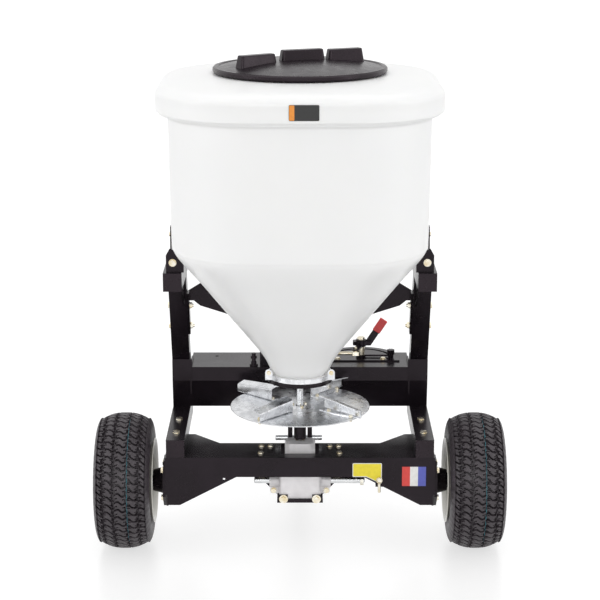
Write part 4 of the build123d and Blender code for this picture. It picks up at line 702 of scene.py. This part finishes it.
def fin_bolt(spot, seat, under):
    """A bolt through a fin and the disc: washer, hexagon head, shank and nut."""
    washer = seat + WASHER_THICK
    head = [(HEX_RADIUS, washer), (HEX_RADIUS, seat + HEX_SHOULDER), (HEX_TOP_RADIUS, seat + HEX_TOP)]
    return [
        turned_stack(spot, [(WASHER_RADIUS, seat), (WASHER_RADIUS, washer)], 20),
        turned_stack(spot, head, 6),
        turned_stack(spot, [(SHANK_RADIUS, under - SHANK_BELOW), (SHANK_RADIUS, seat)], 12),
        turned_stack(spot, [(HEX_RADIUS, under - below) for below in NUT_BELOW], 6),
    ]


def build_spinner():
    """The disc, its four channel fins as they are set in the photo, and their bolts."""
    low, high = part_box("spinner_disc")
    centre = ((low[0] + high[0]) / 2, (low[1] + high[1]) / 2)
    top, under, radius = high[2], low[2], (high[0] - low[0]) / 2
    profile = [
        (DISC_BORE, under), (radius - DISC_EDGE, under), (radius, under + DISC_EDGE),
        (radius, top - DISC_EDGE), (radius - DISC_EDGE, top), (DISC_BORE, top),
    ]
    disc = lathe("spreader_disc", profile, centre, DISC_COUNT, SLOT_MATERIALS["galvanised"])
    fins = joined(
        "spreader_fins",
        [fin_rings(angle, start, end, centre, top) for angle, start, end, _ in FINS],
        SLOT_MATERIALS["galvanised"],
    )
    stacks = []
    for angle, _, _, bolts in FINS:
        for reach in bolts:
            spot = beside(centre, angle, reach, FIN_BOLT_SIDE)
            stacks += fin_bolt(spot, top + FIN_SHEET, under)
    for angle in HUB_SCREW_ANGLES:
        turn = math.radians(angle)
        x = centre[0] + HUB_SCREW_RING * math.cos(turn)
        y = centre[1] + HUB_SCREW_RING * math.sin(turn)
        stacks.append(turned_stack((x, y), [(r, top + z) for r, z in HUB_SCREW], 16))
    fixings = joined("spreader_fixings", stacks, SLOT_MATERIALS["zinc"])
    for thing, slot, node in (
        (disc, "galvanised", "spinner_disc"),
        (fins, "galvanised", "spinner_fins"),
        (fixings, "zinc", "spinner_bolts"),
    ):
        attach(thing, "spinner")
        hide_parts(node)


# ------------------------------------------------------------------ decals
FILM = 0.0002
LIP_PLATE = 0.0008
LIP_GAP = 0.0013
PIN_DECAL_X = (0.145, 0.226)
PIN_DECAL_BELOW = (0.0555, 0.0155)
PIN_DECAL_BORDER = 0.002
ARCH_BEND = 0.47
ARCH_DROP = 0.019
STRIPES_LEFT = 0.282
STRIPES_BELOW = 0.026
STRIPE_WIDE = 0.022
STRIPE_TALL = 0.056
LIP_DECAL_X = (-0.028, 0.048)
LIP_DECAL_BELOW = 0.075
LIP_DECAL_TALL = 0.040
LIP_BAND_X = (-0.027, -0.014)
LIP_BAND_MARGIN = 0.001


def plate(name, y, outline, thickness, material):
    """A thin closed sheet from its outline in X and Z, its back standing at a Y."""
    front = [(x, y - thickness, z) for x, z in outline]
    back = [(x, y, z) for x, z in outline]
    n = len(outline)
    faces = [tuple(range(n)), tuple(reversed(range(n, 2 * n)))]
    for k in range(n):
        faces.append((k, k + n, (k + 1) % n + n, (k + 1) % n))
    thing = make_object(name, front + back, faces, material, smooth=False)
    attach(thing, "frame")


def rounded_outline(x, z, radius, steps=5):
    """A rectangle with round corners, from (low, high) pairs."""
    out = []
    centres = [(x[1] - radius, z[1] - radius), (x[0] + radius, z[1] - radius),
               (x[0] + radius, z[0] + radius), (x[1] - radius, z[0] + radius)]
    for quarter, (cx, cz) in enumerate(centres):
        for i in range(steps + 1):
            a = (quarter + i / steps) * math.pi / 2
            out.append((cx + radius * math.cos(a), cz + radius * math.sin(a)))
    return out


def arch_outline(x, z, radius):
    """The pin decal: its lower edge runs level, then down along the beam's arch."""
    out = rounded_outline(x, z, radius)
    steps = len(out) // 4
    bend = x[0] + ARCH_BEND * (x[1] - x[0])
    lowered = [(px, pz - ARCH_DROP) for px, pz in out[3 * steps :]]
    return out[: 3 * steps] + [(bend, z[0])] + lowered


def build_decals():
    """Plain printed decals without words or marks: one on the hopper, two on the beam."""
    white = printed("decal_white", (0.86, 0.86, 0.84))
    yellow = printed("decal_yellow", (0.88, 0.74, 0.04))
    black = printed("decal_black", (0.02, 0.02, 0.02))
    red = printed("decal_red", (0.72, 0.06, 0.05))
    blue = printed("decal_blue", (0.1, 0.12, 0.5))
    orange = printed("decal_orange", (0.85, 0.3, 0.04))

    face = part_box("axle_beam")[0][1]
    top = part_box("axle_beam")[1][2]
    x0, x1 = PIN_DECAL_X
    z0, z1 = (top - below for below in PIN_DECAL_BELOW)
    edge = PIN_DECAL_BORDER
    plate("pin_decal_border", face, arch_outline((x0, x1), (z0, z1), 0.003), FILM, white)
    outline = arch_outline((x0 + edge, x1 - edge), (z0 + edge, z1 - edge), 0.002)
    plate("pin_decal_field", face - FILM, outline, FILM, yellow)

    high = top - STRIPES_BELOW
    foot = high - STRIPE_TALL
    for i, colour in enumerate((red, white, blue)):
        start = STRIPES_LEFT + i * STRIPE_WIDE
        end = start + STRIPE_WIDE
        outline = [(end, foot), (end, high), (start, high), (start, foot)]
        plate(f"stripe_decal_{i}", face, outline, FILM, colour)

    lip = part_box("hopper")[0][1] + LIP_GAP
    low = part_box("hopper")[1][2] - LIP_DECAL_BELOW
    high = low + LIP_DECAL_TALL
    plate("lip_decal_field", lip, rounded_outline(LIP_DECAL_X, (low, high), 0.003), LIP_PLATE, black)
    band = rounded_outline(LIP_BAND_X, (low + LIP_BAND_MARGIN, high - LIP_BAND_MARGIN), 0.002)
    plate("lip_decal_band", lip - LIP_PLATE, band, FILM, orange)


# ------------------------------------------------------------------ room
FLOOR_SIZE = 60
FLOOR_DROP = 0.0005
WORLD_LIGHT = 0.7
# name, place, aim, size, watts
LAMPS = (
    ("overhead", (0, 0.2, 4.2), (0, 0, 0.5), (4.0, 3.0), 30),
    ("left_bank", (-3.6, -1.8, 2.2), (0, 0, 0.7), (1.6, 2.6), 25),
    ("right_bank", (3.6, -1.8, 2.2), (0, 0, 0.7), (1.6, 2.6), 25),
    ("front_fill", (0, -5.5, 2.6), (0, 0, 0.6), (3.0, 1.4), 36),
)


def seen_directly(nodes, links):
    """1 for camera, mirror and glass rays, 0 for the light that falls on the object."""
    path = nodes.new("ShaderNodeLightPath")
    value = path.outputs["Is Camera Ray"]
    for other in ("Is Glossy Ray", "Is Transmission Ray"):
        both = nodes.new("ShaderNodeMath")
        both.operation = "MAXIMUM"
        links.new(value, both.inputs[0])
        links.new(path.outputs[other], both.inputs[1])
        value = both.outputs["Value"]
    return value


def floor_paper():
    """The floor's material: pale paper to the camera, plain white to the light."""
    material = bpy.data.materials.new("floor")
    material.use_nodes = True
    nodes, links = material.node_tree.nodes, material.node_tree.links
    bounce = nodes["Principled BSDF"]
    bounce.inputs["Base Color"].default_value = (0.9, 0.9, 0.9, 1)
    bounce.inputs["Roughness"].default_value = 0.6
    paper = nodes.new("ShaderNodeBsdfPrincipled")
    paper.inputs["Base Color"].default_value = (0.36, 0.36, 0.36, 1)
    paper.inputs["Roughness"].default_value = 0.3
    paper.inputs["Emission Color"].default_value = (1, 1, 1, 1)
    paper.inputs["Emission Strength"].default_value = 0.66
    mix = nodes.new("ShaderNodeMixShader")
    links.new(seen_directly(nodes, links), mix.inputs[0])
    links.new(bounce.outputs["BSDF"], mix.inputs[1])
    links.new(paper.outputs["BSDF"], mix.inputs[2])
    links.new(mix.outputs["Shader"], nodes["Material Output"].inputs["Surface"])
    return material


def build_floor():
    bpy.ops.mesh.primitive_plane_add(size=FLOOR_SIZE, location=(0, 0, -FLOOR_DROP))
    floor = bpy.context.object
    floor.name = "floor"
    floor.data.materials.append(floor_paper())


def build_world():
    """White to the camera and to mirrors, and a plain soft light on the object."""
    world = bpy.data.worlds.new("studio")
    bpy.context.scene.world = world
    world.use_nodes = True
    nodes, links = world.node_tree.nodes, world.node_tree.links
    background = nodes["Background"]
    background.inputs["Color"].default_value = (1, 1, 1, 1)
    strength = nodes.new("ShaderNodeMapRange")
    strength.inputs["To Min"].default_value = WORLD_LIGHT
    strength.inputs["To Max"].default_value = 1.0
    links.new(seen_directly(nodes, links), strength.inputs["Value"])
    links.new(strength.outputs["Result"], background.inputs["Strength"])


def build_lamp(name, place, aim, size, power):
    """A rectangular area lamp, turned from its place towards a point."""
    data = bpy.data.lights.new(name, "AREA")
    data.shape = "RECTANGLE"
    data.size, data.size_y = size
    data.energy = power
    thing = bpy.data.objects.new(name, data)
    thing.location = place
    way = Vector(aim) - Vector(place)
    thing.rotation_euler = way.to_track_quat("-Z", "Y").to_euler()
    bpy.context.scene.collection.objects.link(thing)


CAMERA_BACK = 4.941
CAMERA_HEIGHT = 1.950
CAMERA_PITCH = 14.05
FOCAL_PIXELS = 1850
PICTURE = 600
SENSOR = 36.0


def build_camera():
    """The camera at the photograph's viewing angle, set back from the wheels' axle."""
    axle_y = node_middle("left_tyre")[1]
    data = bpy.data.cameras.new("camera")
    data.sensor_width = SENSOR
    data.lens = FOCAL_PIXELS / PICTURE * SENSOR
    camera = bpy.data.objects.new("camera", data)
    camera.location = (0, axle_y - CAMERA_BACK, CAMERA_HEIGHT)
    camera.rotation_euler = (math.radians(90 - CAMERA_PITCH), 0, 0)
    bpy.context.scene.collection.objects.link(camera)
    bpy.context.scene.camera = camera


# ------------------------------------------------------------------ assembly
bpy.context.scene.view_settings.view_transform = "Standard"
build_camera()
build_floor()
build_world()
for row in LAMPS:
    build_lamp(*row)
dress_frame()
build_hopper()
for word in ("left", "right"):
    build_tyre(word)
build_spinner()
build_decals()
